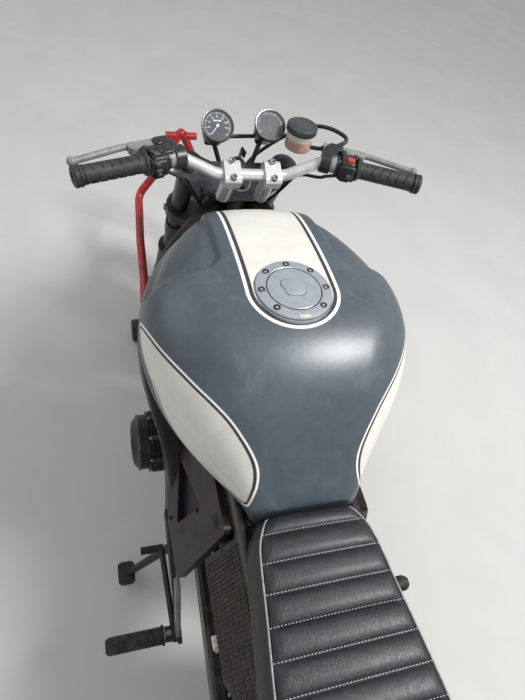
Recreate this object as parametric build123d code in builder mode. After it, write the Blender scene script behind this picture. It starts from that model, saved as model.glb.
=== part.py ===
# Sport bike rebuilt as a cafe racer, parked with its front end on a tubular front stand
# Frame: +Y forward, +X rider's right, +Z up, floor at z = 0, origin at the middle of the box
import os
from math import cos, radians, sin, sqrt, tan

from build123d import *

os.makedirs("parts", exist_ok=True)

# Wheels and chassis lines, millimetres and degrees
wheelbase = 1405.0
front_tyre_r, front_tyre_w = 288.0, 120.0
rear_tyre_r, rear_tyre_w = 312.0, 160.0
bead_r = 215.9
front_rim_w, rear_rim_w = 88.0, 118.0
front_lift = 12.0
rake = 25.0
fork_offset = 36.5
leg_spacing = 204.0
stand_reach = 417.0
overall = rear_tyre_r + wheelbase + stand_reach
rear_axle_y = rear_tyre_r - overall / 2
front_axle_y = rear_axle_y + wheelbase
front_axle_z = front_tyre_r + front_lift
rear_axle_z = rear_tyre_r
running_gap = 0.05
seat_gap = 0.3

# Fork, measured up the legs from the axle
slider_r, slider_low, slider_top = 28.5, -42.0, 300.0
tube_r, fork_top = 20.5, 716.0
bottom_yoke_s, bottom_yoke_t = 500.0, 32.0
top_yoke_s, top_yoke_t = 690.0, 20.0
yoke_boss_r = 31.0
stem_r, head_r = 15.0, 33.0
front_axle_r, rear_axle_r = 10.0, 10.0

# Handlebar
bar_r = 11.0
bar_half = 318.0
bar_centre_half = 68.0
bar_bend_x = 140.0
bar_rise = 34.0
bar_pullback = 66.0
riser_spacing = 80.0
riser_height = 84.0
riser_setback = 33.0
riser_r = 15.0
grip_r, grip_length = 16.5, 122.0

# Swingarm and chain
swingarm_length = 558.0
pivot_z = 380.0
arm_inner_x, arm_t = 112.0, 30.0
pivot_tube_r = 24.0
chain_x = -95.0
rear_sprocket_r, front_sprocket_r = 92.0, 34.0
front_sprocket_ahead = 92.0
chain_t, chain_h = 14.0, 15.0

# Engine, placed from the swingarm pivot
crankcase_half = 148.0
cylinder_half = 160.0
cylinder_lean = 35.0
bank_depth = 118.0
block_h, head_h, cover_h = 112.0, 78.0, 46.0
side_cover_out = 238.0

# Tank and seat
tank_top_z = 1000.0
tank_half = 229.0
cap_r = 63.0
seat_top_z = 800.0
seat_length = 560.0
seat_front_half, seat_rear_half = 92.0, 130.0
seat_flare = 14.0
cushion_t = 48.0
pan_t = 12.0

# Side stand and front stand
side_stand_r = 12.0
stand_tube_r = 14.0
stand_arm_x = 152.0
stand_roller_r, stand_roller_w = 40.0, 28.0
stand_pad_t = 10.0

# Places that several pieces share
pivot_drop = pivot_z - rear_axle_z
pivot_y = rear_axle_y + sqrt(swingarm_length**2 - pivot_drop**2)
front_axle = Vector(0, front_axle_y, front_axle_z)
rear_axle = Vector(0, rear_axle_y, rear_axle_z)
fork_up = Vector(0, -sin(radians(rake)), cos(radians(rake)))
fork_fore = Vector(0, cos(radians(rake)), sin(radians(rake)))
side_x = Vector(1, 0, 0)
fork_plane = Plane(origin=front_axle, x_dir=(1, 0, 0), z_dir=fork_up)


def on_fork(x, fore, up):
    return front_axle + side_x * x + fork_fore * fore + fork_up * up


def fork_section(up):
    return fork_plane.offset(up)


def bent_tube(points, radii, outer):
    with BuildPart() as tube:
        with BuildLine() as route:
            FilletPolyline(*points, radius=radii)
        with BuildSketch(Plane(origin=route.line @ 0, z_dir=route.line % 0)):
            Circle(outer)
        sweep(path=route.line)
    return tube.part


def rod(start, end, outer, end_r=None):
    start, end = Vector(*start), Vector(*end)
    with BuildPart() as bar:
        with BuildSketch(Plane(origin=start, z_dir=end - start)):
            Circle(outer)
        if end_r is None:
            extrude(amount=(end - start).length)
        else:
            with BuildSketch(Plane(origin=end, z_dir=end - start)):
                Circle(end_r)
            loft()
    return bar.part


def both_sides(solid):
    return [solid, solid.mirror(Plane.YZ)]


def side_plane(x, y=0.0, z=0.0):
    return Plane(origin=(x, y, z), x_dir=(0, 1, 0), z_dir=(1, 0, 0))


def save(name, *solids):
    shape = solids[0] if len(solids) == 1 else Compound(children=list(solids))
    shape.label = name
    export_step(shape, f"parts/{name}.step")


# Tyre, rim and hub share one builder: the wheel's axle runs along X
def tyre_ring(centre, outer_r, width, rim_w):
    shoulder_r = outer_r - 0.30 * width
    bead_x = rim_w / 2
    with BuildPart() as ring:
        with BuildSketch(Plane(origin=centre, x_dir=(1, 0, 0), z_dir=(0, 0, 1))):
            with BuildLine():
                Line((-bead_x, bead_r), (bead_x, bead_r))
                ThreePointArc((bead_x, bead_r), (width / 2 - 4, (bead_r + shoulder_r) / 2),
                              (width / 2, shoulder_r))
                ThreePointArc((width / 2, shoulder_r), (0, outer_r), (-width / 2, shoulder_r))
                ThreePointArc((-width / 2, shoulder_r), (4 - width / 2, (bead_r + shoulder_r) / 2),
                              (-bead_x, bead_r))
            make_face()
        revolve(axis=Axis(centre, (1, 0, 0)))
    return ring.part


def cast_wheel(centre, rim_w, hub_half, axle_r, spoke_t):
    rim_wall, lip = 9.0, 14.0
    hub_r = 36.0
    inner_r = bead_r - running_gap - rim_wall
    with BuildPart() as wheel:
        with BuildSketch(Plane(origin=centre, x_dir=(1, 0, 0), z_dir=(0, 0, 1))):
            with BuildLine():
                Polyline(
                    (-rim_w / 2, bead_r - running_gap), (rim_w / 2, bead_r - running_gap),
                    (rim_w / 2, inner_r - lip / 2), (rim_w / 2 - lip, inner_r),
                    (lip - rim_w / 2, inner_r), (-rim_w / 2, inner_r - lip / 2), close=True)
            make_face()
        revolve(axis=Axis(centre, (1, 0, 0)))
        with BuildSketch(side_plane(-hub_half, centre.Y, centre.Z)):
            Circle(hub_r)
        extrude(amount=2 * hub_half)
        with BuildSketch(side_plane(-spoke_t / 2, centre.Y, centre.Z)):
            with PolarLocations(0, 3, start_angle=90):
                Polygon((hub_r - 8, -30), (inner_r + 3, -19), (inner_r + 3, 19), (hub_r - 8, 30),
                        align=None)
        extrude(amount=spoke_t)
        with BuildSketch(side_plane(-hub_half, centre.Y, centre.Z)):
            Circle(axle_r + running_gap)
        extrude(amount=2 * hub_half, mode=Mode.SUBTRACT)
    return wheel.part


def brake_disc(centre, x, outer_r, thickness, hub_r):
    band = 36.0
    with BuildPart() as disc:
        with BuildSketch(side_plane(x - thickness / 2, centre.Y, centre.Z)):
            Circle(outer_r)
            Circle(hub_r, mode=Mode.SUBTRACT)
            with PolarLocations((outer_r - band + hub_r) / 2 + 4, 5):
                SlotOverall(44, 24, rotation=90, mode=Mode.SUBTRACT)
        extrude(amount=thickness)
    return disc.part


disc_t = 5.0
front_disc_r, rear_disc_r = 148.0, 110.0
front_hub_half, rear_hub_half = 60.0, 84.0
front_disc_x = front_hub_half + disc_t / 2
rear_disc_x = rear_hub_half + disc_t / 2

front_tyre = tyre_ring(front_axle, front_tyre_r, front_tyre_w, front_rim_w)
save("front_tyre", front_tyre)
front_wheel = cast_wheel(front_axle, front_rim_w, front_hub_half, front_axle_r, 30.0)
save("front_wheel_casting", front_wheel)
save("front_brake_discs", *[brake_disc(front_axle, side * front_disc_x, front_disc_r, disc_t, 32.0)
                            for side in (-1, 1)])
rear_tyre = tyre_ring(rear_axle, rear_tyre_r, rear_tyre_w, rear_rim_w)
save("rear_tyre", rear_tyre)
rear_wheel = cast_wheel(rear_axle, rear_rim_w, rear_hub_half, rear_axle_r, 34.0)
save("rear_wheel_casting", rear_wheel)
save("rear_brake_disc", brake_disc(rear_axle, rear_disc_x, rear_disc_r, disc_t, 30.0))

# Rear sprocket bolted to the hub's left face
tooth_count, tooth_h = 42, 5.0
with BuildPart() as rear_sprocket:
    with BuildSketch(side_plane(chain_x - 3, rear_axle_y, rear_axle_z)):
        Circle(rear_sprocket_r - tooth_h)
        with PolarLocations(rear_sprocket_r - tooth_h / 2 - 1, tooth_count):
            Trapezoid(7.0, tooth_h + 2, 65, rotation=-90)
        Circle(rear_axle_r + 4, mode=Mode.SUBTRACT)
        with PolarLocations(56, 5):
            Circle(15, mode=Mode.SUBTRACT)
    extrude(amount=6)
    with BuildSketch(side_plane(chain_x + 3, rear_axle_y, rear_axle_z)):
        Circle(38)
        Circle(rear_axle_r + 4, mode=Mode.SUBTRACT)
    extrude(amount=-rear_hub_half - chain_x - 3)
save("rear_sprocket", rear_sprocket.part)

# Steering body: fork legs, yokes and stem
leg_x = leg_spacing / 2
axle_boss_h = 22.0


def fork_leg(side):
    with BuildPart() as leg:
        for up, outer in ((slider_low, slider_r - 5), (slider_low + 20, slider_r)):
            with BuildSketch(fork_section(up)):
                with Locations((side * leg_x, 0)):
                    Circle(outer)
        loft()
        with BuildSketch(fork_section(slider_low + 20)):
            with Locations((side * leg_x, 0)):
                Circle(slider_r)
        extrude(amount=slider_top - slider_low - 32)
        with BuildSketch(fork_section(slider_top - 12)):
            with Locations((side * leg_x, 0)):
                Circle(slider_r + 3)
        extrude(amount=12)
        for up in (95.0, 165.0):
            with BuildSketch(fork_section(up)):
                with Locations((side * leg_x, -slider_r - 4)):
                    Rectangle(16, 22)
            extrude(amount=24)
    return leg.part


axle_half = leg_x + slider_r + 6
with BuildPart() as axle_pin:
    with BuildSketch(side_plane(-axle_half, front_axle_y, front_axle_z)):
        Circle(front_axle_r)
    extrude(amount=2 * axle_half)
    for side in (-1, 1):
        with BuildSketch(side_plane(side * (axle_half - 5), front_axle_y, front_axle_z)):
            Circle(front_axle_r + 6)
        extrude(amount=side * 9)
    for side in (-1, 1):
        with BuildSketch(side_plane(side * (front_hub_half + 1), front_axle_y, front_axle_z)):
            Circle(front_axle_r + 5)
        extrude(amount=side * (leg_x - slider_r - front_hub_half - 1.5))
with BuildPart() as fork_sliders:
    for side in (-1, 1):
        add(fork_leg(side))
    add(axle_pin.part)
save("fork_sliders_and_axle", fork_sliders.part)


def fork_tube(side):
    with BuildPart() as tube:
        with BuildSketch(fork_section(slider_top)):
            with Locations((side * leg_x, 0)):
                Circle(tube_r)
        extrude(amount=fork_top - slider_top)
        with BuildSketch(fork_section(fork_top)):
            with Locations((side * leg_x, 0)):
                Circle(tube_r - 2)
        extrude(amount=5)
        with BuildSketch(fork_section(fork_top + 5)):
            with Locations((side * leg_x, 0)):
                RegularPolygon(12, 6)
        extrude(amount=6)
    return tube.part


save("fork_tubes", *[fork_tube(side) for side in (-1, 1)])


def yoke_outline(grow, waist):
    Polygon((-leg_x, yoke_boss_r), (-leg_x - 20, -yoke_boss_r + 6), (-waist, -fork_offset - 34),
            (waist, -fork_offset - 34), (leg_x + 20, -yoke_boss_r + 6), (leg_x, yoke_boss_r),
            (leg_x - 46, grow), (46 - leg_x, grow), align=None)
    with Locations((-leg_x, 0), (leg_x, 0)):
        Circle(yoke_boss_r)


with BuildPart() as bottom_yoke:
    with BuildSketch(fork_section(bottom_yoke_s)):
        yoke_outline(4, 36)
        with Locations((-leg_x, 0), (leg_x, 0)):
            Circle(tube_r, mode=Mode.SUBTRACT)
    extrude(amount=bottom_yoke_t)
    with BuildSketch(fork_section(bottom_yoke_s + bottom_yoke_t)):
        with Locations((0, -fork_offset)):
            Circle(stem_r)
    extrude(amount=top_yoke_s - bottom_yoke_s - bottom_yoke_t)
save("bottom_yoke", bottom_yoke.part)

with BuildPart() as top_yoke:
    with BuildSketch(fork_section(top_yoke_s)):
        yoke_outline(8, 52)
        with Locations((-leg_x, 0), (leg_x, 0)):
            Circle(tube_r, mode=Mode.SUBTRACT)
        with Locations((-56, -18), (56, -18)):
            Circle(13, mode=Mode.SUBTRACT)
    extrude(amount=top_yoke_t)
    with BuildSketch(fork_section(top_yoke_s + top_yoke_t)):
        with Locations((0, -fork_offset)):
            RegularPolygon(19, 6)
    extrude(amount=8)
save("top_yoke", top_yoke.part)

# Handlebar on two risers
riser_fore = -fork_offset - riser_setback
riser_base = top_yoke_s + top_yoke_t
bar_centre = on_fork(0, riser_fore, riser_base + riser_height)
clamp_half = riser_r + 1


def bar_point(x, back, up):
    return (x, bar_centre.Y - back, bar_centre.Z + up)


bar_route = [bar_point(-bar_half, bar_pullback, bar_rise), bar_point(-bar_bend_x, 0, bar_rise),
             bar_point(-bar_centre_half, 0, 0), bar_point(bar_centre_half, 0, 0),
             bar_point(bar_bend_x, 0, bar_rise), bar_point(bar_half, bar_pullback, bar_rise)]
handlebar = bent_tube(bar_route, [45, 45, 45, 45], bar_r)
save("handlebar", handlebar)


def riser(side):
    with BuildPart() as post:
        with BuildSketch(fork_section(riser_base)):
            with Locations((side * riser_spacing / 2, riser_fore)):
                Circle(riser_r)
        extrude(amount=riser_height)
        with BuildSketch(Plane(origin=on_fork(side * riser_spacing / 2 - clamp_half, riser_fore,
                                              riser_base + riser_height),
                               x_dir=fork_fore, z_dir=(1, 0, 0))):
            RectangleRounded(48, 34, 10)
        extrude(amount=2 * clamp_half)
        with BuildSketch(side_plane(-riser_spacing, bar_centre.Y, bar_centre.Z)):
            Circle(bar_r)
        extrude(amount=2 * riser_spacing, mode=Mode.SUBTRACT)
    return post.part


save("bar_risers", *[riser(side) for side in (-1, 1)])

# Bar ends: grips, switch housings, levers
bend = Vector(*bar_route[4])
tip = Vector(*bar_route[5])
bar_way = (tip - bend).normalized()
bar_fore = Vector(0, 0, 1).cross(bar_way).normalized()
bar_up = bar_way.cross(bar_fore)
grip_start = (tip - bend).length - grip_length
housing_length = 38.0


def along_bar(out, fore=0.0, up=0.0):
    return bend + bar_way * out + bar_fore * fore + bar_up * up


def bar_section(out):
    return Plane(origin=along_bar(out), x_dir=bar_fore, z_dir=bar_way)


with BuildPart() as grip:
    with BuildSketch(bar_section(grip_start)):
        Circle(grip_r)
        Circle(bar_r, mode=Mode.SUBTRACT)
    extrude(amount=grip_length - 4)
    with BuildSketch(bar_section(grip_start)):
        Circle(grip_r + 5)
        Circle(bar_r, mode=Mode.SUBTRACT)
    extrude(amount=4)
    with BuildSketch(bar_section(grip_start + grip_length - 4)):
        Circle(grip_r + 2)
    extrude(amount=10)
    with BuildSketch(bar_section(grip_start + grip_length - 5)):
        Circle(bar_r)
    extrude(amount=5, mode=Mode.SUBTRACT)
save("handlebar_grips", *both_sides(grip.part))

with BuildPart() as switch_block:
    with BuildSketch(bar_section(grip_start - housing_length)):
        RectangleRounded(46, 42, 12)
        Circle(bar_r, mode=Mode.SUBTRACT)
    extrude(amount=housing_length - 1)
save("switch_housings", *both_sides(switch_block.part))

lever_clamp = 18.0
lever_fore = 34.0
with BuildPart() as perch:
    with BuildSketch(bar_section(grip_start - housing_length - lever_clamp)):
        Circle(bar_r + 6)
        Circle(bar_r, mode=Mode.SUBTRACT)
        with Locations((bar_r + 16, 2)):
            Rectangle(26, 14)
    extrude(amount=lever_clamp - 2)
    with BuildSketch(Plane(origin=along_bar(grip_start - housing_length - lever_clamp, lever_fore, -2),
                           x_dir=bar_way, z_dir=bar_up)):
        with Locations((34, 4)):
            RectangleRounded(72, 22, 8)
    extrude(amount=14)
perch_end = grip_start - housing_length + 34
lever_points = [along_bar(perch_end - 20, lever_fore + 4, 5), along_bar(perch_end + 22, lever_fore + 14, 5),
                along_bar(grip_start + grip_length - 6, lever_fore + 2, 3)]
lever_blade = bent_tube(lever_points, [60], 6.0)
lever_ball = Sphere(8.5).moved(Location(lever_points[2]))
with BuildPart() as right_lever:
    add(perch.part)
    add(lever_blade)
    add(lever_ball)
    add(handlebar, mode=Mode.SUBTRACT)

reservoir_r, reservoir_h = 30.0, 50.0
reservoir_at = Vector(108, 320, 1010)
with BuildPart() as brake_lever:
    add(right_lever.part)
    with BuildSketch(Plane(origin=along_bar(grip_start - housing_length - 34, lever_fore + 4, 4),
                           x_dir=bar_fore, z_dir=bar_way)):
        Circle(12)
    extrude(amount=40)
save("hand_levers", right_lever.part.mirror(Plane.YZ), brake_lever.part)
with BuildPart() as reservoir:
    with BuildSketch(Plane(origin=reservoir_at, z_dir=(0, 0, 1))):
        Circle(reservoir_r - 5)
    extrude(amount=reservoir_h - 14)
    with BuildSketch(Plane(origin=reservoir_at + Vector(0, 0, reservoir_h - 14), z_dir=(0, 0, 1))):
        Circle(reservoir_r)
    extrude(amount=14)
reservoir_arm = rod(along_bar(grip_start - housing_length - 26, lever_fore + 4, 6),
                    reservoir_at + Vector(reservoir_r - 16, -8, 8), 4.0)
with BuildPart() as brake_reservoir:
    add(reservoir.part)
    add(reservoir_arm)
    add(brake_lever.part, mode=Mode.SUBTRACT)
save("brake_reservoir", brake_reservoir.part)

# Two small clocks on a bracket ahead of the top yoke
clock_r, clock_depth = 31.0, 52.0
clock_tilt = 38.0
clock_places = [(-58.0, 332.5, 1040.0), (50.0, 343.5, 1040.0)]
clock_axis = Vector(0, -sin(radians(clock_tilt)), cos(radians(clock_tilt)))
clocks = []
for clock_face in clock_places:
    with BuildPart() as clock:
        face_at = Vector(*clock_face)
        for depth, outer in ((0, clock_r - 1), (clock_depth, clock_r - 11)):
            with BuildSketch(Plane(origin=face_at - clock_axis * depth, x_dir=(1, 0, 0), z_dir=clock_axis)):
                Circle(outer)
        loft()
        with BuildSketch(Plane(origin=face_at - clock_axis * 8, x_dir=(1, 0, 0), z_dir=clock_axis)):
            Circle(clock_r)
        extrude(amount=10)
    clocks.append(clock.part)
save("instruments", *clocks)

bracket_z = 955.0
with BuildPart() as clock_bracket:
    for clock_face in clock_places:
        foot = Vector(*clock_face) - clock_axis * (clock_depth + 0.2)
        with BuildSketch(Plane(origin=foot - clock_axis * 4, x_dir=(1, 0, 0), z_dir=clock_axis)):
            RectangleRounded(34, 34, 6)
        extrude(amount=4)
clock_stays = [rod(Vector(*face) - clock_axis * (clock_depth + 3),
                   on_fork(face[0] * 0.62, yoke_boss_r - 24, top_yoke_s + 10), 5.0)
               for face in clock_places]
clock_bar = rod(Vector(*clock_places[0]) - clock_axis * (clock_depth + 3),
                Vector(*clock_places[1]) - clock_axis * (clock_depth + 3), 4.0)
with BuildPart() as clock_bracket_all:
    add(clock_bracket.part)
    add(clock_bar)
    for stay in clock_stays:
        add(stay)
    for neighbour in (top_yoke.part, *clocks):
        add(neighbour, mode=Mode.SUBTRACT)
save("clock_bracket", clock_bracket_all.part)

# Headlamp between the yokes
lamp_r, lamp_depth, lamp_back_r = 62.0, 80.0, 20.0
lamp_up = 430.0
lamp_at = on_fork(0, 84, lamp_up)
with BuildPart() as headlamp:
    with BuildSketch(Plane(origin=lamp_at, x_dir=(1, 0, 0), z_dir=(0, 0, 1))):
        with BuildLine():
            Line((0, -lamp_depth / 2), (0, lamp_depth / 2 + 8))
            TangentArc((0, lamp_depth / 2 + 8), (lamp_r - 6, lamp_depth / 2 - 8), tangent=(1, 0))
            Polyline((lamp_r - 6, lamp_depth / 2 - 8), (lamp_r, lamp_depth / 2 - 8),
                     (lamp_r, lamp_depth / 2 - 22), (lamp_r - 4, lamp_depth / 2 - 22))
            ThreePointArc((lamp_r - 4, lamp_depth / 2 - 22), (lamp_r * 0.72, -lamp_depth * 0.28),
                          (lamp_back_r, -lamp_depth / 2))
            Line((lamp_back_r, -lamp_depth / 2), (0, -lamp_depth / 2))
        make_face()
    revolve(axis=Axis(lamp_at, (0, 1, 0)))
save("headlamp", headlamp.part)


def lamp_ear(side):
    with BuildPart() as ear:
        with BuildSketch(fork_section(lamp_up - 18)):
            with Locations((side * leg_x, 0)):
                Circle(tube_r + 4)
                Circle(tube_r, mode=Mode.SUBTRACT)
        extrude(amount=36)
    arm = rod(on_fork(side * leg_x, tube_r + 2, lamp_up), lamp_at + side_x * side * (lamp_r + 4), 7.0)
    boss = rod(lamp_at + side_x * side * (lamp_r + 12), lamp_at + side_x * side * (lamp_r - 20), 9.0)
    with BuildPart() as whole:
        add(ear.part)
        add(arm)
        add(boss)
        with BuildSketch(fork_section(lamp_up - 60)):
            with Locations((side * leg_x, 0)):
                Circle(tube_r)
        extrude(amount=120, mode=Mode.SUBTRACT)
        add(headlamp.part, mode=Mode.SUBTRACT)
    return whole.part


save("headlamp_brackets", *[lamp_ear(side) for side in (-1, 1)])

# Front mudguard over the tyre, bolted to the sliders
guard_gap = 14.0
guard_r = front_tyre_r + guard_gap
guard_half = front_tyre_w / 2 + 6
with BuildPart() as mudguard:
    with BuildSketch(Plane(origin=front_axle, x_dir=(1, 0, 0), z_dir=(0, 0, 1))):
        with BuildLine():
            ThreePointArc((-guard_half, guard_r - 34), (0, guard_r + 3), (guard_half, guard_r - 34))
            Line((guard_half, guard_r - 34), (guard_half - 4, guard_r - 36))
            ThreePointArc((guard_half - 4, guard_r - 36), (0, guard_r - 1), (4 - guard_half, guard_r - 36))
            Line((4 - guard_half, guard_r - 36), (-guard_half, guard_r - 34))
        make_face()
    revolve(axis=Axis(front_axle, (1, 0, 0)), revolution_arc=112)
guard_turned = mudguard.part.rotate(Axis(front_axle, (1, 0, 0)), 34)
guard_stays = []
for side in (-1, 1):
    for turn, up in ((60, 175.0), (110, 235.0)):
        edge = front_axle + Vector(side * (guard_half + 1), (guard_r - 27) * cos(radians(turn)),
                                   (guard_r - 27) * sin(radians(turn)))
        guard_stays.append(rod(edge, on_fork(side * (leg_x - slider_r + 3), 0, up), 5.0))
with BuildPart() as front_mudguard:
    add(guard_turned)
    for stay in guard_stays:
        add(stay)
    with BuildSketch(fork_section(100)):
        with Locations((-leg_x, 0), (leg_x, 0)):
            Circle(slider_r + seat_gap)
    extrude(amount=200, mode=Mode.SUBTRACT)
save("front_mudguard", front_mudguard.part)

# Front calipers straddle the discs behind the legs
disc_clear = 5.0
caliper_in = front_disc_x - disc_t / 2 - disc_clear - 7.0
caliper_out = front_disc_x + 34.0


def front_caliper(side):
    with BuildPart() as caliper:
        with BuildSketch(Plane(origin=on_fork(side * caliper_in, -72, 122), x_dir=fork_fore,
                               z_dir=(1, 0, 0))):
            RectangleRounded(52, 104, 14)
        extrude(amount=side * (caliper_out - caliper_in))
        add(fork_leg(side), mode=Mode.SUBTRACT)
        with BuildSketch(side_plane(side * front_disc_x - disc_t / 2 - disc_clear, front_axle_y,
                                    front_axle_z)):
            Circle(front_disc_r + disc_clear)
        extrude(amount=disc_t + 2 * disc_clear, mode=Mode.SUBTRACT)
    return caliper.part


save("front_calipers", *[front_caliper(side) for side in (-1, 1)])

# Brake hoses run from the master cylinder down to each caliper
hose_r = 4.0
hose_block_s = 466.0
hose_top = along_bar(grip_start - housing_length - 34, lever_fore + 4, 4) - bar_way * 0.3
hose_split = on_fork(30, 30, bottom_yoke_s + bottom_yoke_t / 2)
hose_routes = [
    [hose_top, (214, 282, 1046), (168, 330, 1054), (118, 356, 1034), on_fork(58, 70, 640),
     on_fork(42, 56, 570), on_fork(42, 44, 510), on_fork(56, 30, hose_block_s + 4)],
]
for side in (-1, 1):
    hose_routes.append([on_fork(side * 62, 26, hose_block_s - 0.3), on_fork(side * 62, 8, 420),
                        on_fork(side * 66, -24, 366), on_fork(side * 80, -46, 314),
                        on_fork(side * 88, -52, 256), on_fork(side * 86, -62, 174.4)])


def hose(points):
    runs = [(Vector(*b) - Vector(*a)).length for a, b in zip(points, points[1:])]
    turns = [(Vector(*b) - Vector(*a)).get_angle(Vector(*c) - Vector(*b))
             for a, b, c in zip(points, points[1:], points[2:])]
    radii = [0.45 * min(pair) / tan(radians(turn / 2)) for pair, turn in zip(zip(runs, runs[1:]), turns)]
    return bent_tube(points, radii, hose_r)


with BuildPart() as hose_block:
    with BuildSketch(Plane(origin=on_fork(0, 0, hose_block_s), x_dir=(1, 0, 0), z_dir=fork_up)):
        with Locations((0, 29)):
            RectangleRounded(130, 14, 4)
    extrude(amount=5)
    with BuildSketch(Plane(origin=on_fork(0, 25, hose_block_s + 5), x_dir=(1, 0, 0), z_dir=fork_up)):
        Rectangle(24, 12)
    extrude(amount=bottom_yoke_s - hose_block_s - 5)
hoses = []
for route in hose_routes:
    with BuildPart() as one_hose:
        add(hose(route))
        for neighbour in (brake_lever.part, brake_reservoir.part, hose_block.part):
            add(neighbour, mode=Mode.SUBTRACT)
    hoses.append(one_hose.part)
save("front_brake_hoses", hose_block.part, *hoses)

# Front stand: two rollers on the floor, uprights under the fork legs, arms round the wheel
stand_axle_y = front_axle_y + 6
pad_z = front_axle_z - 52.0
arm_z = front_axle_z - 66.0
bow_y = front_axle_y + stand_reach - stand_tube_r - 20
bow_z = front_axle_z + 170


def stand_side(side):
    x = side * stand_arm_x
    arm = bent_tube([(x, stand_axle_y - 30, arm_z), (x, front_axle_y + 190, front_axle_z + 6),
                     (x * 0.93, bow_y - 10, front_axle_z + 60), (side * 64, bow_y + 4, bow_z),
                     (side * 6, bow_y + 18, bow_z + 120)],
                    [240, 40, 60], stand_tube_r)
    upright = rod((x, stand_axle_y, stand_roller_r), (x, stand_axle_y - 12, arm_z), stand_tube_r)
    strut = rod((x, stand_axle_y + 4, stand_roller_r), (x, front_axle_y + 150, front_axle_z - 3),
                stand_tube_r - 4)
    return [arm, upright, strut]


handle_ball = Sphere(stand_tube_r + 2).moved(Location((0, bow_y + 18, bow_z + 120)))
cross_bar = rod((-52, bow_y + 17, bow_z + 112), (52, bow_y + 17, bow_z + 112), stand_tube_r - 2)
with BuildPart() as front_stand:
    for side in (-1, 1):
        for tube in stand_side(side):
            add(tube)
    add(cross_bar)
    add(handle_ball)
    for side in (-1, 1):
        with BuildSketch(side_plane(side * (stand_arm_x - 6), stand_axle_y, stand_roller_r)):
            Circle(9)
        extrude(amount=side * (stand_roller_w + 24))
        with BuildSketch(Plane(origin=(side * (leg_x + 14), stand_axle_y - 16, pad_z - stand_pad_t),
                               z_dir=(0, 0, -1))):
            RectangleRounded(76, 44, 8)
        extrude(amount=10)
save("front_stand", front_stand.part)


def stand_roller(side):
    with BuildPart() as roller:
        with BuildSketch(side_plane(side * (stand_arm_x + 17), stand_axle_y, stand_roller_r)):
            Circle(stand_roller_r)
            Circle(9 + running_gap, mode=Mode.SUBTRACT)
        extrude(amount=side * stand_roller_w)
        fillet(roller.edges().filter_by(GeomType.CIRCLE).group_by(SortBy.RADIUS)[-1], 5)
    return roller.part


def stand_pad(side):
    with BuildPart() as pad:
        with BuildSketch(Plane(origin=(side * leg_x, stand_axle_y - 16, pad_z - stand_pad_t),
                               z_dir=(0, 0, 1))):
            RectangleRounded(46, 40, 8)
        extrude(amount=40)
        with BuildSketch(fork_section(slider_low - 0.3)):
            with Locations((side * leg_x, 0)):
                Circle(slider_r + 0.3)
        extrude(amount=120, mode=Mode.SUBTRACT)
    return pad.part


save("front_stand_rubbers", *[make(side) for make in (stand_roller, stand_pad) for side in (-1, 1)])

# The cylinder bank's foot and its way up
lean = radians(cylinder_lean)
bank_up = Vector(0, sin(lean), cos(lean))
bank_foot = Vector(0, pivot_y + 268, pivot_z + 66)

# Main frame: steering head, two pressed spars and the pivot plates
head_low, head_high = bottom_yoke_s + bottom_yoke_t + 6, top_yoke_s - 6
head_mid = on_fork(0, -fork_offset, (head_low + head_high) / 2)
plate_mid_x, plate_width = 158.0, 38.0

# Stations along a spar: centre x, y, z, then width and height of its section
spar_table = [
    (34.0, head_mid.Y + 2, head_mid.Z - 8, 38.0, 110.0, (0.50, -0.86, -0.06)),
    (86.0, head_mid.Y - 70, head_mid.Z - 24, 36.0, 108.0, (0.60, -0.78, -0.18)),
    (150.0, head_mid.Y - 136, head_mid.Z - 50, 40.0, 106.0, (0.66, -0.68, -0.32)),
    (200.0, head_mid.Y - 246, head_mid.Z - 102, 44.0, 104.0, (0.12, -0.83, -0.53)),
    (184.0, head_mid.Y - 402, head_mid.Z - 226, 48.0, 108.0, (-0.15, -0.72, -0.68)),
    (165.0, pivot_y + 44, pivot_z + 110, 44.0, 110.0, (-0.12, -0.52, -0.85)),
    (plate_mid_x, pivot_y + 4, pivot_z - 44, plate_width, 108.0, (0.0, -0.15, -0.99)),
]
with BuildPart() as spar:
    for x, y, z, width, height, way in spar_table:
        way = Vector(*way)
        across = (side_x - way * (side_x.dot(way) / way.dot(way))).normalized()
        with BuildSketch(Plane(origin=(x, y, z), x_dir=across, z_dir=way)):
            RectangleRounded(width, height, 12)
    loft()
    with BuildSketch(side_plane(60, pivot_y, pivot_z)):
        Circle(9)
    extrude(amount=160, mode=Mode.SUBTRACT)
    with BuildSketch(fork_section(head_low - 60)):
        with Locations((0, -fork_offset)):
            Circle(head_r)
    extrude(amount=400, mode=Mode.SUBTRACT)
hanger_x, hanger_t = cylinder_half + 8.3, 9.0
hanger_bolt = bank_foot + bank_up * (block_h + head_h / 2)
with BuildPart() as spar_with_hanger:
    add(spar.part)
    with BuildSketch(side_plane(hanger_x)):
        Polygon((hanger_bolt.Y - 16, hanger_bolt.Z - 14), (hanger_bolt.Y + 16, hanger_bolt.Z - 14),
                (hanger_bolt.Y + 46, head_mid.Z - 104), (hanger_bolt.Y - 62, head_mid.Z - 118), align=None)
    extrude(amount=hanger_t)
    with BuildSketch(side_plane(hanger_x, hanger_bolt.Y, hanger_bolt.Z)):
        Circle(11)
    extrude(amount=-4)

with BuildPart() as steering_head:
    with BuildSketch(fork_section(head_low)):
        with Locations((0, -fork_offset)):
            Circle(head_r)
    extrude(amount=head_high - head_low)
    with BuildSketch(fork_section(head_low - 1)):
        with Locations((0, -fork_offset)):
            Circle(stem_r + running_gap)
    extrude(amount=head_high - head_low + 2, mode=Mode.SUBTRACT)
save("steering_head", steering_head.part)

# Swingarm
arm_end_x = arm_inner_x + arm_t / 2
pivot_at = Vector(0, pivot_y, pivot_z)
arm_way = (rear_axle - pivot_at).normalized()


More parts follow.
